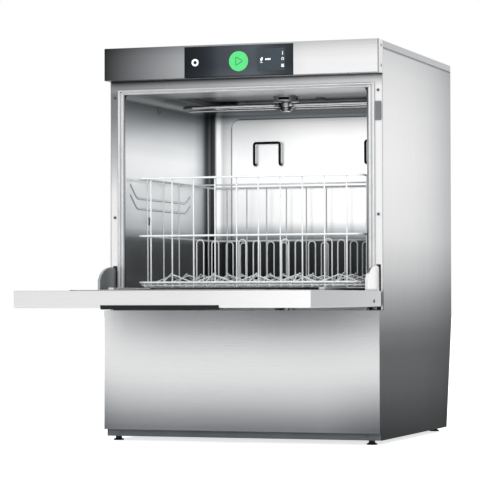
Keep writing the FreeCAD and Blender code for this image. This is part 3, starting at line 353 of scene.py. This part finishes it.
def header_light(g):
    """Painted light and shade: dark at the left end, near white right of the glass, a little darker along
    the top; painted dark lines of shade run along both edges of each end cap.
    """
    across = g.shade("X", ((-0.3, 0.2), (-0.25, 0.4), (-0.2, 0.525), (-0.135, 0.655), (0.0, 0.8),
                           (0.15, 0.955), (0.3, 0.96)))
    down = g.shade("Z", ((0.757, 1.0), (0.785, 1.0), (0.805, 0.95), (0.822, 0.84)))
    ends = g.shade("Y", ((FRONT_Y + 0.0015, 0.3), (FRONT_Y + 0.0025, 0.9), (FRONT_Y + 0.0335, 0.9),
                         (FRONT_Y + 0.0345, 0.3)))
    sideways = g.math("ABSOLUTE", g.normal("X"))
    return g.blend(g.curve(sideways, ((0.3, 0.0), (0.9, 1.0))), g.times(across, down), ends)


def lower_light(g):
    """Painted light and shade: a bright band across the middle, dark towards the floor and under the door,
    and darker in the lower right corner.
    """
    middle = g.shade("Z", ((0.03, 0.535), (0.053, 0.63), (0.073, 0.715), (0.094, 0.785), (0.125, 0.855),
                           (0.15, 0.872), (0.176, 0.855), (0.197, 0.81), (0.218, 0.74), (0.238, 0.645),
                           (0.253, 0.58), (0.268, 0.53)))
    edge = g.shade("Z", ((0.03, 0.43), (0.053, 0.53), (0.073, 0.62), (0.094, 0.7), (0.13, 0.81),
                         (0.16, 0.86), (0.2, 0.875), (0.24, 0.86), (0.268, 0.83)))
    factor = g.curve(g.place("X"), ((-0.3, 0.0), (-0.28, 0.3), (-0.25, 0.55), (-0.16, 0.82), (0.1, 1.0),
                                    (0.2, 0.92), (0.3, 0.62)))
    low_right = g.math("MULTIPLY", g.curve(g.place("X"), ((0.18, 0.0), (0.29, 1.0))),
                       g.curve(g.place("Z"), ((0.03, 1.0), (0.15, 0.0))))
    return g.times(g.blend(factor, edge, middle), g.curve(low_right, ((0.0, 1.0), (1.0, 0.7))))


def side_light(g):
    """Painted light and shade: light above, dark towards the floor, a little darker towards the back edge,
    and a painted dark line of shade along the top edge.
    """
    up = g.shade("Z", ((0.02, 0.25), (0.074, 0.33), (0.104, 0.375), (0.145, 0.4), (0.185, 0.405),
                       (0.226, 0.49), (0.266, 0.63), (0.306, 0.75), (0.347, 0.82), (0.407, 0.86),
                       (0.468, 0.905), (0.589, 0.935), (0.69, 0.915), (0.76, 0.87), (0.8078, 0.8),
                       (0.8085, 0.45)))
    back = g.curve(g.place("Y"), ((0.05, 1.0), (0.2, 0.95), (0.32, 0.85), (0.42, 0.7), (0.534, 0.5)))
    return g.times(up, back)


# Painted shade: the side panels' edge-on sheen dims towards the floor.
def side_sheen_shade(g):
    return g.curve(g.place("Z"), ((0.04, 0.46), (0.15, 0.5), (0.3, 0.56), (0.42, 1.0)))


def column_light(g):
    """The frame round the opening, in painted light and shade: grey on the left above, white on the right,
    and a painted shadow of the header along the top.
    """
    left = g.shade("Z", ((0.3, 0.94), (0.52, 0.92), (0.6, 0.72), (0.68, 0.53), (0.73, 0.49), (0.737, 0.57),
                         (0.745, 0.52), (0.752, 0.38), (0.757, 0.22)))
    right = g.shade("Z", ((0.3, 0.96), (0.73, 0.96), (0.745, 0.8), (0.752, 0.6), (0.757, 0.3)))
    return g.blend(g.curve(g.place("X"), ((-0.29, 0.0), (0.1, 0.8), (0.28, 1.0))), left, right)


def door_light(g):
    """Painted light and shade: a near-white free edge, grey ends that lighten towards the hinge, soft bands
    on the outer face.
    """
    front = g.shade("X", ((-0.3, 0.875), (0.05, 0.885), (0.3, 0.98)))
    ends = g.shade("Y", ((-0.53, 0.7), (-0.3, 0.72), (-0.05, 0.76)))
    sideways = g.math("ABSOLUTE", g.normal("X"))
    edges = g.blend(g.curve(sideways, ((0.3, 0.0), (0.9, 1.0))), front, ends)
    face = g.shade("Y", ((-0.53, 0.9), (-0.4, 0.86), (-0.25, 0.8), (-0.12, 0.68), (-0.06, 0.56)))
    across = g.curve(g.place("X"), ((-0.3, 0.55), (-0.1, 0.9), (0.3, 1.0)))
    outer = g.curve(g.place("Z"), ((DOOR_LOW_Z + 0.2 * MM, 1.0), (DOOR_LOW_Z + SHEET, 0.0)))
    return g.blend(outer, edges, g.times(face, across))


def wall_light(g):
    """Liner: painted light and shade gives a dark ceiling and walls that brighten downwards and darken
    towards the right; the walls also go dark again in their lowest part.

    round_corner runs along the side wall, round the upright corner and on along the back wall, so
    the corner's dark and bright reflections can be placed along it.
    """
    sideways = g.math("ABSOLUTE", g.place("X"))
    gap_side = g.math("SUBTRACT", LINER_HALF, sideways)
    gap_back = g.math("SUBTRACT", LINER_BACK, g.place("Y"))
    round_corner = g.math("SUBTRACT", gap_side, gap_back)
    side = g.shade("Z", ((0.3, 0.25), (0.42, 0.32), (0.45, 0.66), (0.6, 0.84), (0.635, 0.77), (0.657, 0.67),
                         (0.679, 0.56), (0.701, 0.42), (0.714, 0.34), (0.73, 0.3), (0.75, 0.25)))
    back = g.shade("Z", ((0.3, 0.12), (0.425, 0.2), (0.47, 0.94), (0.66, 0.98), (0.685, 0.95),
                         (0.7, 0.86), (0.712, 0.62), (0.72, 0.3), (0.73, 0.55), (0.75, 0.25)))
    colour = g.blend(g.curve(round_corner, ((-0.02, 0.0), (0.015, 1.0))), side, back)
    corner = g.curve(round_corner, ((-0.11, 1.0), (-0.06, 0.6), (-0.035, 0.14), (-0.02, 0.07),
                                    (-0.012, 0.2), (-0.004, 0.06), (0.008, 0.1), (0.016, 0.95),
                                    (0.024, 1.0), (0.032, 0.7), (0.05, 0.85), (0.07, 1.0)))
    colour = g.times(colour, corner)
    right = g.curve(g.place("X"), ((0.1, 1.0), (0.25, 0.6)))
    ceiling = g.shade("Y", ((0.0, 0.54), (0.1, 0.5), (0.15, 0.36), (0.17, 0.2), (0.3, 0.26), (0.49, 0.36)))
    ceiling = g.times(ceiling, g.curve(g.place("X"), ((-0.25, 0.5), (0.0, 1.0), (0.25, 1.0))))
    facing_down = g.curve(g.normal("Z"), ((-0.9, 1.0), (-0.5, 0.0)))
    return g.blend(facing_down, g.times(colour, right), ceiling)


def baffle_light(g):
    # Painted light and shade: bright above and a little darker at the top, with a painted dark line of
    # shade along the sides and rounded top edge; low down the baffle is dark.
    up = g.shade("Z", ((0.3, 0.12), (0.425, 0.2), (0.475, 0.96), (0.66, 0.99), (0.685, 0.96), (0.7, 0.9),
                       (0.713, 0.75)))
    low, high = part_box("rear_baffle")
    corner = 20 * MM
    past_x = g.math("MAXIMUM", g.math("SUBTRACT", g.math("ABSOLUTE", g.place("X")), high.x - corner), 0.0)
    past_z = g.math("MAXIMUM", g.math("SUBTRACT", g.place("Z"), high.z - corner), 0.0)
    squares = g.math("ADD", g.math("POWER", past_x, 2.0), g.math("POWER", past_z, 2.0))
    to_edge = g.math("SUBTRACT", corner, g.math("SQRT", squares))
    return g.times(up, g.curve(to_edge, ((0.0, 0.12), (1.6 * MM, 0.2), (3.0 * MM, 1.0))))


def arm_light(g):
    """Even along the arm, with painted shade on one half of the hub and a painted highlight on the other.
    """
    return g.shade("X", ((-0.026, 0.86), (-0.02, 0.45), (-0.001, 0.4), (0.004, 0.9), (0.014, 0.9),
                         (0.02, 0.5), (0.026, 0.86)))


def bearing_light(g):
    """The upper bearing block in painted light and shade: pale outside, dark inside its openings; the post
    below is shaded.
    """
    low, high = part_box("upper_wash_arm")
    axis_y = (low.y + high.y) / 2
    past_x = g.math("POWER", g.place("X"), 2.0)
    past_y = g.math("POWER", g.math("SUBTRACT", g.place("Y"), axis_y), 2.0)
    radius = g.math("SQRT", g.math("ADD", past_x, past_y))
    openings = g.curve(radius, ((POCKET_R[0], 0.01), (POCKET_R[1], 1.0)))
    block = g.times(g.shade("X", ((-0.028, 0.62), (-0.01, 0.74), (0.012, 0.8), (0.028, 0.6))), openings)
    above = g.curve(g.place("Z"), ((BLOCK_Z, 0.0), (BLOCK_Z + 1.2 * MM, 1.0)))
    return g.blend(above, arm_light(g), block)


def carrier_light(g):
    # Painted light and shade across the seal carrier: a little darker towards the right, lighter again at
    # its right end.
    return g.shade("X", ((-0.28, 0.84), (-0.2, 0.82), (0.2, 0.8), (0.265, 0.72), (0.28, 0.9)))


STEEL = {
    "header": brushed_steel("steel_header", header_light),
    "lower": brushed_steel("steel_lower", lower_light),
    "side": brushed_steel("steel_side", side_light, "Z", tint=side_sheen_shade),
    "door": brushed_steel("steel_door", door_light),
    "lid": brushed_steel("steel_lid", even(0.72)),
    "frame": brushed_steel("steel_frame", column_light, "Z"),
    "rear": brushed_steel("steel_rear", even(0.8)),
    "liner": rolled_steel("steel_liner", wall_light, 0.3, 0.45),
    "baffle": rolled_steel("steel_baffle", baffle_light, 0.3, 0.38),
    "dark": rolled_steel("steel_dark", even(0.35), 0.4),
    "inner": rolled_steel("steel_inner", even(0.85), 0.24),
    # Painted shade: the door cheeks darken towards the left.
    "cheek": rolled_steel("steel_cheek", lambda g: g.shade("X", ((-0.2, 0.66), (0.2, 0.97))), 0.3),
    "arm": rolled_steel("steel_arm", arm_light, 0.2),
    "bearing": rolled_steel("steel_bearing", bearing_light, 0.3, 0.1),
    "carrier": rolled_steel("steel_carrier", carrier_light, 0.3),
    "screw": cast_metal("steel_screw", (0.12, 0.12, 0.125, 1), 0.3),
}
WIRE = coated_wire("wire_coating")
BLACK = moulded_plastic("plastic_black", (0.009, 0.01, 0.011, 1), 0.45)
GREY = moulded_plastic("plastic_grey", (0.16, 0.17, 0.175, 1), 0.5)
BLACK_RUBBER = soft_rubber("rubber_black", (0.004, 0.004, 0.004, 1))
GREY_RUBBER = soft_rubber("rubber_grey", (0.62, 0.63, 0.64, 1), 0.5)
PLINTH = moulded_plastic("plinth_coating", (0.135, 0.145, 0.155, 1), 0.5, 500.0)
PANE = tinted_pane("pane_tinted")
GREEN = lit_green("cap_green")
INK_WHITE = print_ink("ink_white", (0.9, 0.92, 0.92, 1), 0.1)
INK_GREEN = print_ink("ink_green", (0.02, 0.2, 0.05, 1))
SCREEN = moulded_plastic("screen_dark", (0.04, 0.052, 0.065, 1), 0.35, 1400.0)
BRASS = cast_metal("brass_turned", (0.7, 0.52, 0.26, 1), 0.3)
MOTOR = cast_metal("motor_casting", (0.42, 0.43, 0.45, 1), 0.45)
BOARD = moulded_plastic("board_resist", (0.02, 0.16, 0.06, 1), 0.35, 1200.0, 0.3)

FINISHES = {
    STEEL["header"]: ["control_fascia"],
    STEEL["lower"]: ["lower_front_panel"],
    STEEL["side"]: ["side_panel_left", "side_panel_right"],
    STEEL["door"]: ["door_outer_panel"],
    STEEL["lid"]: ["top_cover"],
    STEEL["frame"]: ["front_frame"],
    STEEL["rear"]: ["rear_panel"],
    STEEL["liner"]: ["wash_chamber"],
    STEEL["baffle"]: ["rear_baffle"],
    STEEL["inner"]: ["door_inner_panel", "rack_rails", "tank_strainers", "wash_tank",
                     "door_rack_guides", "booster_boiler"],
    STEEL["cheek"]: ["door_cheeks"],
    STEEL["arm"]: ["upper_wash_arm", "lower_wash_arm", "upper_rinse_arm", "lower_rinse_arm",
                   "hinge_pins", "wash_pump_rotor", "filter_basket", "tank_heater"],
    STEEL["bearing"]: ["arm_posts"],
    STEEL["carrier"]: ["seal_carrier"],
    STEEL["screw"]: ["casing_screws", "door_screws"],
    STEEL["dark"]: ["hinge_ears"],
    WIRE: ["rack_rings", "rack_uprights", "rack_floor", "rack_inserts"],
    BLACK: ["baffle_handles", "door_grip", "power_cable", "power_button", "drain_spigot",
            "foot_front_left", "foot_front_right", "foot_rear_left", "foot_rear_right"],
    GREY: ["door_catch", "control_box", "drain_pump", "rinse_pump", "dosing_pumps", "wash_pump_casing",
           "chamber_plugs"],
    BLACK_RUBBER: ["hinge_slot_seals", "hoses"],
    GREY_RUBBER: ["door_gasket"],
    PLINTH: ["base_frame"],
    PANE: ["control_glass"],
    GREEN: ["start_button"],
    SCREEN: ["display_module"],
    BRASS: ["inlet_valve"],
    MOTOR: ["wash_pump_motor"],
    BOARD: ["control_board"],
}


def finish_cad_nodes():
    for material, names in FINISHES.items():
        for name in names:
            mesh = NODES[name].data
            mesh.materials.clear()
            mesh.materials.append(material)
            for polygon in mesh.polygons:
                polygon.use_smooth = True
            mesh.set_sharp_from_angle(angle=SHARP_ANGLE)


# ---------------------------------------------------------------- mesh helpers
def add_piece(name, mesh_data, material, body, smooth=True):
    obj = bpy.data.objects.new(name, mesh_data)
    bpy.context.scene.collection.objects.link(obj)
    mesh_data.materials.append(material)
    for polygon in mesh_data.polygons:
        polygon.use_smooth = smooth
    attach(obj, body)
    return obj


def arc_path(points, radius, steps=5, closed=False):
    """Points along a path whose corners are rounded to the given radius."""
    points = [Vector(p) for p in points]
    count = len(points)
    result = []
    for i, corner in enumerate(points):
        if not closed and i in (0, count - 1):
            result.append(corner)
            continue
        into = (corner - points[i - 1]).normalized()
        out = (points[(i + 1) % count] - corner).normalized()
        turn = into.angle(out)
        if turn < 0.02:
            continue
        reach = radius * math.tan(turn / 2)
        start = corner - into * reach
        centre = corner + (out - into).normalized() * (radius / math.cos(turn / 2))
        axis = into.cross(out).normalized()
        for step in range(steps + 1):
            spin = Matrix.Rotation(turn * step / steps, 3, axis)
            result.append(centre + spin @ (start - centre))
    return result


def wires_mesh(name, wires, sides=10):
    """Round wires in one mesh. wires holds (points, closed, radius) triples."""
    bm = bmesh.new()
    for points, closed, radius in wires:
        count = len(points)
        rings = []
        normal = None
        for i, point in enumerate(points):
            ahead = points[(i + 1) % count] if closed or i + 1 < count else point
            behind = points[i - 1] if closed or i else point
            tangent = (ahead - behind).normalized()
            if normal is None:
                normal = tangent.orthogonal().normalized()
            normal = (normal - tangent * normal.dot(tangent)).normalized()
            side = tangent.cross(normal)
            rings.append([
                bm.verts.new(point + (normal * math.cos(a) + side * math.sin(a)) * radius)
                for a in (2 * math.pi * k / sides for k in range(sides))
            ])
        pairs = list(zip(rings, rings[1:]))
        if closed:
            pairs.append((rings[-1], best_turn(rings[-1], rings[0])))
        for a, b in pairs:
            for k in range(sides):
                bm.faces.new((a[k], a[(k + 1) % sides], b[(k + 1) % sides], b[k]))
        if not closed:
            cap(bm, rings[0], points[0], (points[0] - points[1]).normalized(), radius)
            cap(bm, list(reversed(rings[-1])), points[-1], (points[-1] - points[-2]).normalized(), radius)
    bm.normal_update()
    mesh = bpy.data.meshes.new(name)
    bm.to_mesh(mesh)
    bm.free()
    return mesh


def best_turn(last, first):
    """The first ring, turned so that its corners face the last ring's."""
    count = len(first)
    gaps = [(last[0].co - first[k].co).length for k in range(count)]
    start = gaps.index(min(gaps))
    return [first[(start + k) % count] for k in range(count)]


def cap(bm, ring, centre, outward, radius):
    """Slightly domed wire end."""
    inner = [bm.verts.new(centre + (v.co - centre) * 0.6 + outward * radius * 0.35) for v in ring]
    count = len(ring)
    for k in range(count):
        bm.faces.new((ring[(k + 1) % count], ring[k], inner[k], inner[(k + 1) % count]))
    bm.faces.new(list(reversed(inner)))


def badge_mesh(name, outlines, y, depth):
    """Flat shapes standing a little out of a face that looks towards -Y."""
    bm = bmesh.new()
    for outline in outlines:
        front = [bm.verts.new((x, y - depth, z)) for x, z in outline]
        back = [bm.verts.new((x, y, z)) for x, z in outline]
        bm.faces.new(front)
        bm.faces.new(list(reversed(back)))
        count = len(outline)
        for k in range(count):
            bm.faces.new((front[k], back[k], back[(k + 1) % count], front[(k + 1) % count]))
    bmesh.ops.recalc_face_normals(bm, faces=bm.faces)
    mesh = bpy.data.meshes.new(name)
    bm.to_mesh(mesh)
    bm.free()
    return mesh


def ring_mesh(name, profile, centre, sides=48):
    """Closed ring turned about an axis along Y from (radius, offset) points."""
    bm = bmesh.new()
    rings = []
    for radius, along in profile:
        rings.append([
            bm.verts.new((centre[0] + radius * math.cos(a), centre[1] + along,
                          centre[2] + radius * math.sin(a)))
            for a in (2 * math.pi * k / sides for k in range(sides))
        ])
    rings.append(rings[0])
    for a, b in zip(rings, rings[1:]):
        for k in range(sides):
            bm.faces.new((a[k], a[(k + 1) % sides], b[(k + 1) % sides], b[k]))
    bmesh.ops.recalc_face_normals(bm, faces=bm.faces)
    mesh = bpy.data.meshes.new(name)
    bm.to_mesh(mesh)
    bm.free()
    return mesh


# ---------------------------------------------------------------- rack
COMPARTMENT = 96 * MM
HALF_COMPARTMENT = COMPARTMENT / 2
RING_R = 2.25 * MM
UPRIGHT_R = 1.6 * MM
CROSS_R = 1.8 * MM
FLOOR_R = 1.6 * MM
RIDGE_R = 1.3 * MM
HAIRPIN_R = 1.5 * MM
RACK_LOW, RACK_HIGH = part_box("rack_rings")
RACK_MIDDLE_Y = (RACK_LOW.y + RACK_HIGH.y) / 2
RACK_TOP_Z = RACK_HIGH.z - RING_R
RACK_BASE_Z = RACK_LOW.z + RING_R
RACK_MID_Z = RACK_BASE_Z + 98.5 * MM
RACK_TOP_HALF = RACK_HIGH.x - RING_R
RACK_FLARE = 1 * MM             # how much narrower the rack's base is than its top, on each side
RACK_CORNER_R = 22 * MM
FLOOR_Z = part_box("rack_floor")[0].z + FLOOR_R


def rack_half(z):
    """Half width of the rack's wire centre line at height z: the walls flare outwards."""
    share = (z - RACK_BASE_Z) / (RACK_TOP_Z - RACK_BASE_Z)
    return RACK_TOP_HALF - RACK_FLARE * (1 - share)


def rack_point(x, y, z):
    return Vector((x, RACK_MIDDLE_Y + y, z))


def hoop(z):
    half = rack_half(z)
    corners = [(-half, -half, z), (half, -half, z), (half, half, z), (-half, half, z)]
    return [rack_point(*p) for p in arc_path(corners, RACK_CORNER_R, 8, closed=True)], True, RING_R


def bent_wire(points, bend, radius, steps=4):
    return arc_path([rack_point(*p) for p in points], bend, steps), False, radius


def replace_wires(node, name, wires, sides=10):
    """One mesh of wires that stands in for a CAD node of the rack."""
    piece = add_piece(name, wires_mesh(name, wires, sides), WIRE, "rack")
    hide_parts(node)


def build_rings():
    hoops = [hoop(z) for z in (RACK_BASE_Z, RACK_MID_Z, RACK_TOP_Z)]
    half = rack_half(RACK_TOP_Z)
    across_y = UPRIGHT_R + CROSS_R + 0.2 * MM
    across_z = RACK_TOP_Z - RING_R - CROSS_R + 0.1 * MM
    hoops.append(bent_wire([(-half, across_y, across_z), (half, across_y, across_z)], 0,
                           CROSS_R))
    replace_wires("rack_rings", "rack_hoops", hoops, 14)


def build_uprights():
    inset = RING_R + UPRIGHT_R - 0.3 * MM
    low_z = RACK_BASE_Z - 10 * MM
    high_z = RACK_TOP_Z + 1.5 * MM
    low = rack_half(low_z) - inset
    high = rack_half(high_z) - inset
    wires = []
    for sign in (-1, 1):
        for step in range(10):
            x = (step - 4.5) * HALF_COMPARTMENT
            wires.append(bent_wire([(x, sign * low, low_z), (x, sign * high, high_z)], 0, UPRIGHT_R))
        for step in range(5):
            y = (step - 2) * COMPARTMENT
            wires.append(bent_wire([(sign * low, y, low_z), (sign * high, y, high_z)], 0, UPRIGHT_R))
    replace_wires("rack_uprights", "rack_upright_wires", wires)


def build_floor_grid():
    """Floor wires with their ends turned up against the lowest hoop."""
    reach = rack_half(RACK_BASE_Z) - RING_R - FLOOR_R - 1.5 * MM
    turned_up = 6 * MM
    wires = []
    for step in range(11):
        offset = (step - 5) * HALF_COMPARTMENT * 0.965
        for z, along_y in ((FLOOR_Z, True), (FLOOR_Z + 2 * FLOOR_R, False)):
            ends = [(-reach, z + turned_up), (-reach, z), (reach, z), (reach, z + turned_up)]
            path = [(offset, a, h) if along_y else (a, offset, h) for a, h in ends]
            wires.append(bent_wire(path, 3 * MM, FLOOR_R))
    replace_wires("rack_floor", "rack_floor_grid", wires, 8)


def build_inserts():
    """Zigzag ridges under the glasses and hairpins between them."""
    ridge_z = FLOOR_Z + 8.5 * MM
    rise = 17 * MM
    wires = []
    for crossed in (False, True):
        lift = 3.4 * MM if crossed else 0
        for row in range(5):
            across = (row - 2) * COMPARTMENT
            points = []
            for step in range(11):
                along = (step - 5) * HALF_COMPARTMENT * 0.96
                z = ridge_z + lift + (rise if step % 2 else 0)
                points.append((across, along, z) if crossed else (along, across, z))
            wires.append(bent_wire(points, 5 * MM, RIDGE_R))
    foot_z = FLOOR_Z + 6 * MM
    tip_z = FLOOR_Z + 101 * MM
    half_wide = 8 * MM
    for column in range(4):
        for row in range(4):
            x = (column - 1.5) * COMPARTMENT
            y = (row - 1.5) * COMPARTMENT + 7 * MM
            loop = [(x - half_wide, y, foot_z), (x - half_wide, y, tip_z),
                    (x + half_wide, y, tip_z), (x + half_wide, y, foot_z)]
            wires.append(bent_wire(loop, half_wide - 0.5 * MM, HAIRPIN_R, 6))
    replace_wires("rack_inserts", "rack_insert_wires", wires, 8)


def build_rack():
    build_rings()
    build_uprights()
    build_floor_grid()
    build_inserts()


# ---------------------------------------------------------------- controls
def rounded_outline(x, z, half_wide, half_high, radius):
    corners = [(x - half_wide, 0, z - half_high), (x + half_wide, 0, z - half_high),
               (x + half_wide, 0, z + half_high), (x - half_wide, 0, z + half_high)]
    return [(p.x, p.z) for p in arc_path(corners, radius, 4, closed=True)]


def leaf_outline(x, z, size):
    """Pointed leaf leaning to the right, with a stalk at its foot."""
    left = [(-0.1, -1.0), (-0.55, -0.45), (-0.6, 0.1), (-0.2, 0.6), (0.35, 1.0)]
    right = [(0.5, 0.35), (0.4, -0.25), (0.05, -0.65)]
    return [(x + px * size, z + pz * size) for px, pz in left + right]


def build_display_signs():
    """Small white signs on the screen: a leaf, short bars in place of words, three status marks."""
    low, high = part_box("display_module")
    face = min(low.y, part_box("control_glass")[0].y)
    middle = (low + high) / 2
    row = middle.z + 0.5 * MM
    leaf_x = low.x + 11 * MM
    marks_x = high.x - 7.6 * MM
    outlines = [leaf_outline(leaf_x, row, 5 * MM),
                rounded_outline(leaf_x, row - 6.5 * MM, 3 * MM, 0.5 * MM, 0.4 * MM)]
    for step in range(4):
        outlines.append(rounded_outline(leaf_x + (9 + 3.1 * step) * MM, row, 1.1 * MM, 1.9 * MM, 0.6 * MM))
    upper_mark = row + 11.5 * MM
    lower_mark = row - 14 * MM
    outlines.append(rounded_outline(marks_x, upper_mark - 1 * MM, 0.8 * MM, 2.4 * MM, 0.6 * MM))
    outlines.append(rounded_outline(marks_x, upper_mark + 3.2 * MM, 0.9 * MM, 0.9 * MM, 0.7 * MM))
    for step in range(3):
        outlines.append(rounded_outline(marks_x, lower_mark + (step - 1) * 2.3 * MM, 3 * MM, 0.8 * MM,
                                        0.5 * MM))
    add_piece("display_signs", badge_mesh("display_signs", outlines, face, 0.25 * MM), INK_WHITE,
              "cabinet", False)
    profile = [(1.9 * MM, 0.0), (1.9 * MM, -0.25 * MM), (3.0 * MM, -0.25 * MM), (3.0 * MM, 0.0)]
    add_piece("display_dial", ring_mesh("display_dial", profile, (marks_x, face, row), 24), INK_WHITE,
              "cabinet")


def build_controls():
    build_display_signs()
    start_low, start_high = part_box("start_button")
    middle = (start_low + start_high) / 2
    radius = (start_high.x - start_low.x) / 2
    size = radius * 0.44
    points = [(middle.x - size * 0.62, start_low.y, middle.z + size),
              (middle.x + size * 1.05, start_low.y, middle.z),
              (middle.x - size * 0.62, start_low.y, middle.z - size)]
    path = arc_path(points, 1.0 * MM, 4, closed=True)
    add_piece("start_triangle", wires_mesh("start_triangle", [(path, True, 0.75 * MM)], 8), INK_GREEN,
              "start_button")

    power_low, power_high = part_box("power_button")
    centre = (power_low + power_high) / 2
    ring_out = (power_high.x - power_low.x) / 2 - 0.3 * MM
    ring_in = ring_out * 0.48
    profile = [(ring_in, 0.0), (ring_in, -0.35 * MM), (ring_in + 0.3 * MM, -0.5 * MM),
               (ring_out - 0.3 * MM, -0.5 * MM), (ring_out, -0.35 * MM), (ring_out, 0.0)]
    ring = ring_mesh("power_ring", profile, (centre.x, power_low.y, centre.z))
    add_piece("power_ring", ring, INK_WHITE, "power_button")


# ---------------------------------------------------------------- studio
def build_world(scene):
    """White backdrop for the camera; reflections also see darker flags at both sides."""
    world = bpy.data.worlds.new("studio")
    scene.world = world
    world.use_nodes = True
    tree = world.node_tree
    background = tree.nodes["Background"]
    direction = tree.nodes.new("ShaderNodeTexCoord")
    split = tree.nodes.new("ShaderNodeSeparateXYZ")
    tree.links.new(direction.outputs["Generated"], split.inputs[0])
    sideways = tree.nodes.new("ShaderNodeMath")
    sideways.operation = "ABSOLUTE"
    tree.links.new(split.outputs["X"], sideways.inputs[0])
    flags = tree.nodes.new("ShaderNodeValToRGB")
    flags.color_ramp.interpolation = "EASE"
    flags.color_ramp.elements[0].position = 0.62
    flags.color_ramp.elements[0].color = (1, 1, 1, 1)
    flags.color_ramp.elements[1].position = 0.86
    flags.color_ramp.elements[1].color = (0.3, 0.31, 0.32, 1)
    tree.links.new(sideways.outputs[0], flags.inputs["Fac"])
    rays = tree.nodes.new("ShaderNodeLightPath")
    mix = tree.nodes.new("ShaderNodeMix")
    mix.data_type = "RGBA"
    tree.links.new(rays.outputs["Is Camera Ray"], mix.inputs["Factor"])
    tree.links.new(flags.outputs["Color"], mix.inputs["A"])
    mix.inputs["B"].default_value = (1, 1, 1, 1)
    tree.links.new(mix.outputs["Result"], background.inputs["Color"])


def add_light(name, place, aim, size, watts, spread=180):
    data = bpy.data.lights.new(name, "AREA")
    data.shape = "SQUARE"
    data.size = size
    data.energy = watts
    data.spread = math.radians(spread)
    light = bpy.data.objects.new(name, data)
    light.location = place
    light.rotation_euler = (Vector(aim) - Vector(place)).to_track_quat("-Z", "Y").to_euler()
    light.visible_camera = False
    light.visible_glossy = False
    bpy.context.scene.collection.objects.link(light)


def build_studio():
    scene = bpy.context.scene
    scene.view_settings.view_transform = "Standard"
    scene.view_settings.look = "None"
    build_world(scene)

    floor_mesh = bpy.data.meshes.new("floor")
    corners = [(-1, -1), (1, -1), (1, 1), (-1, 1)]
    floor_mesh.from_pydata([(x * FLOOR_REACH, y * FLOOR_REACH, 0) for x, y in corners], [], [(0, 1, 2, 3)])
    floor = bpy.data.objects.new("floor", floor_mesh)
    floor.location.z = CAD_BOX[0][2] - 0.0005
    scene.collection.objects.link(floor)
    g = Graph("floor_paper")
    grain = g.noise(2.0, 2.0)
    seen = g.new("ShaderNodeLightPath").outputs["Is Camera Ray"]
    g.set(base_color=g.times(grey(0.9), g.curve(grain, ((0.3, 0.99), (0.7, 1.0)))), roughness=1.0,
          specular_ior_level=0.0, emission_color=grey(1.0),
          emission_strength=g.spread(seen, FLOOR_GLOW, FLOOR_GLOW_SEEN))
    floor_mesh.materials.append(g.material)

    add_light("key", (-1.8, -2.4, 2.6), (0, 0.1, 0.45), 2.4, 18)
    add_light("inside", (1.0, -1.7, 0.75), (-0.05, 0.4, 0.55), 0.7, 1.5, 45)


def build_camera():
    data = bpy.data.cameras.new("camera")
    data.lens = CAMERA_LENS
    data.sensor_width = 36.0
    data.clip_end = 100.0
    camera = bpy.data.objects.new("camera", data)
    camera.location = CAMERA_PLACE
    across = math.cos(CAMERA_PITCH)
    ahead = Vector((-math.sin(CAMERA_AZIMUTH) * across, math.cos(CAMERA_AZIMUTH) * across,
                    math.sin(CAMERA_PITCH)))
    level = ahead.to_track_quat("-Z", "Y").to_matrix()
    camera.rotation_euler = (Matrix.Rotation(CAMERA_ROLL, 3, ahead) @ level).to_euler()
    bpy.context.scene.collection.objects.link(camera)
    bpy.context.scene.camera = camera


finish_cad_nodes()
build_rack()
build_controls()
build_studio()
build_camera()

bpy.context.view_layer.update()
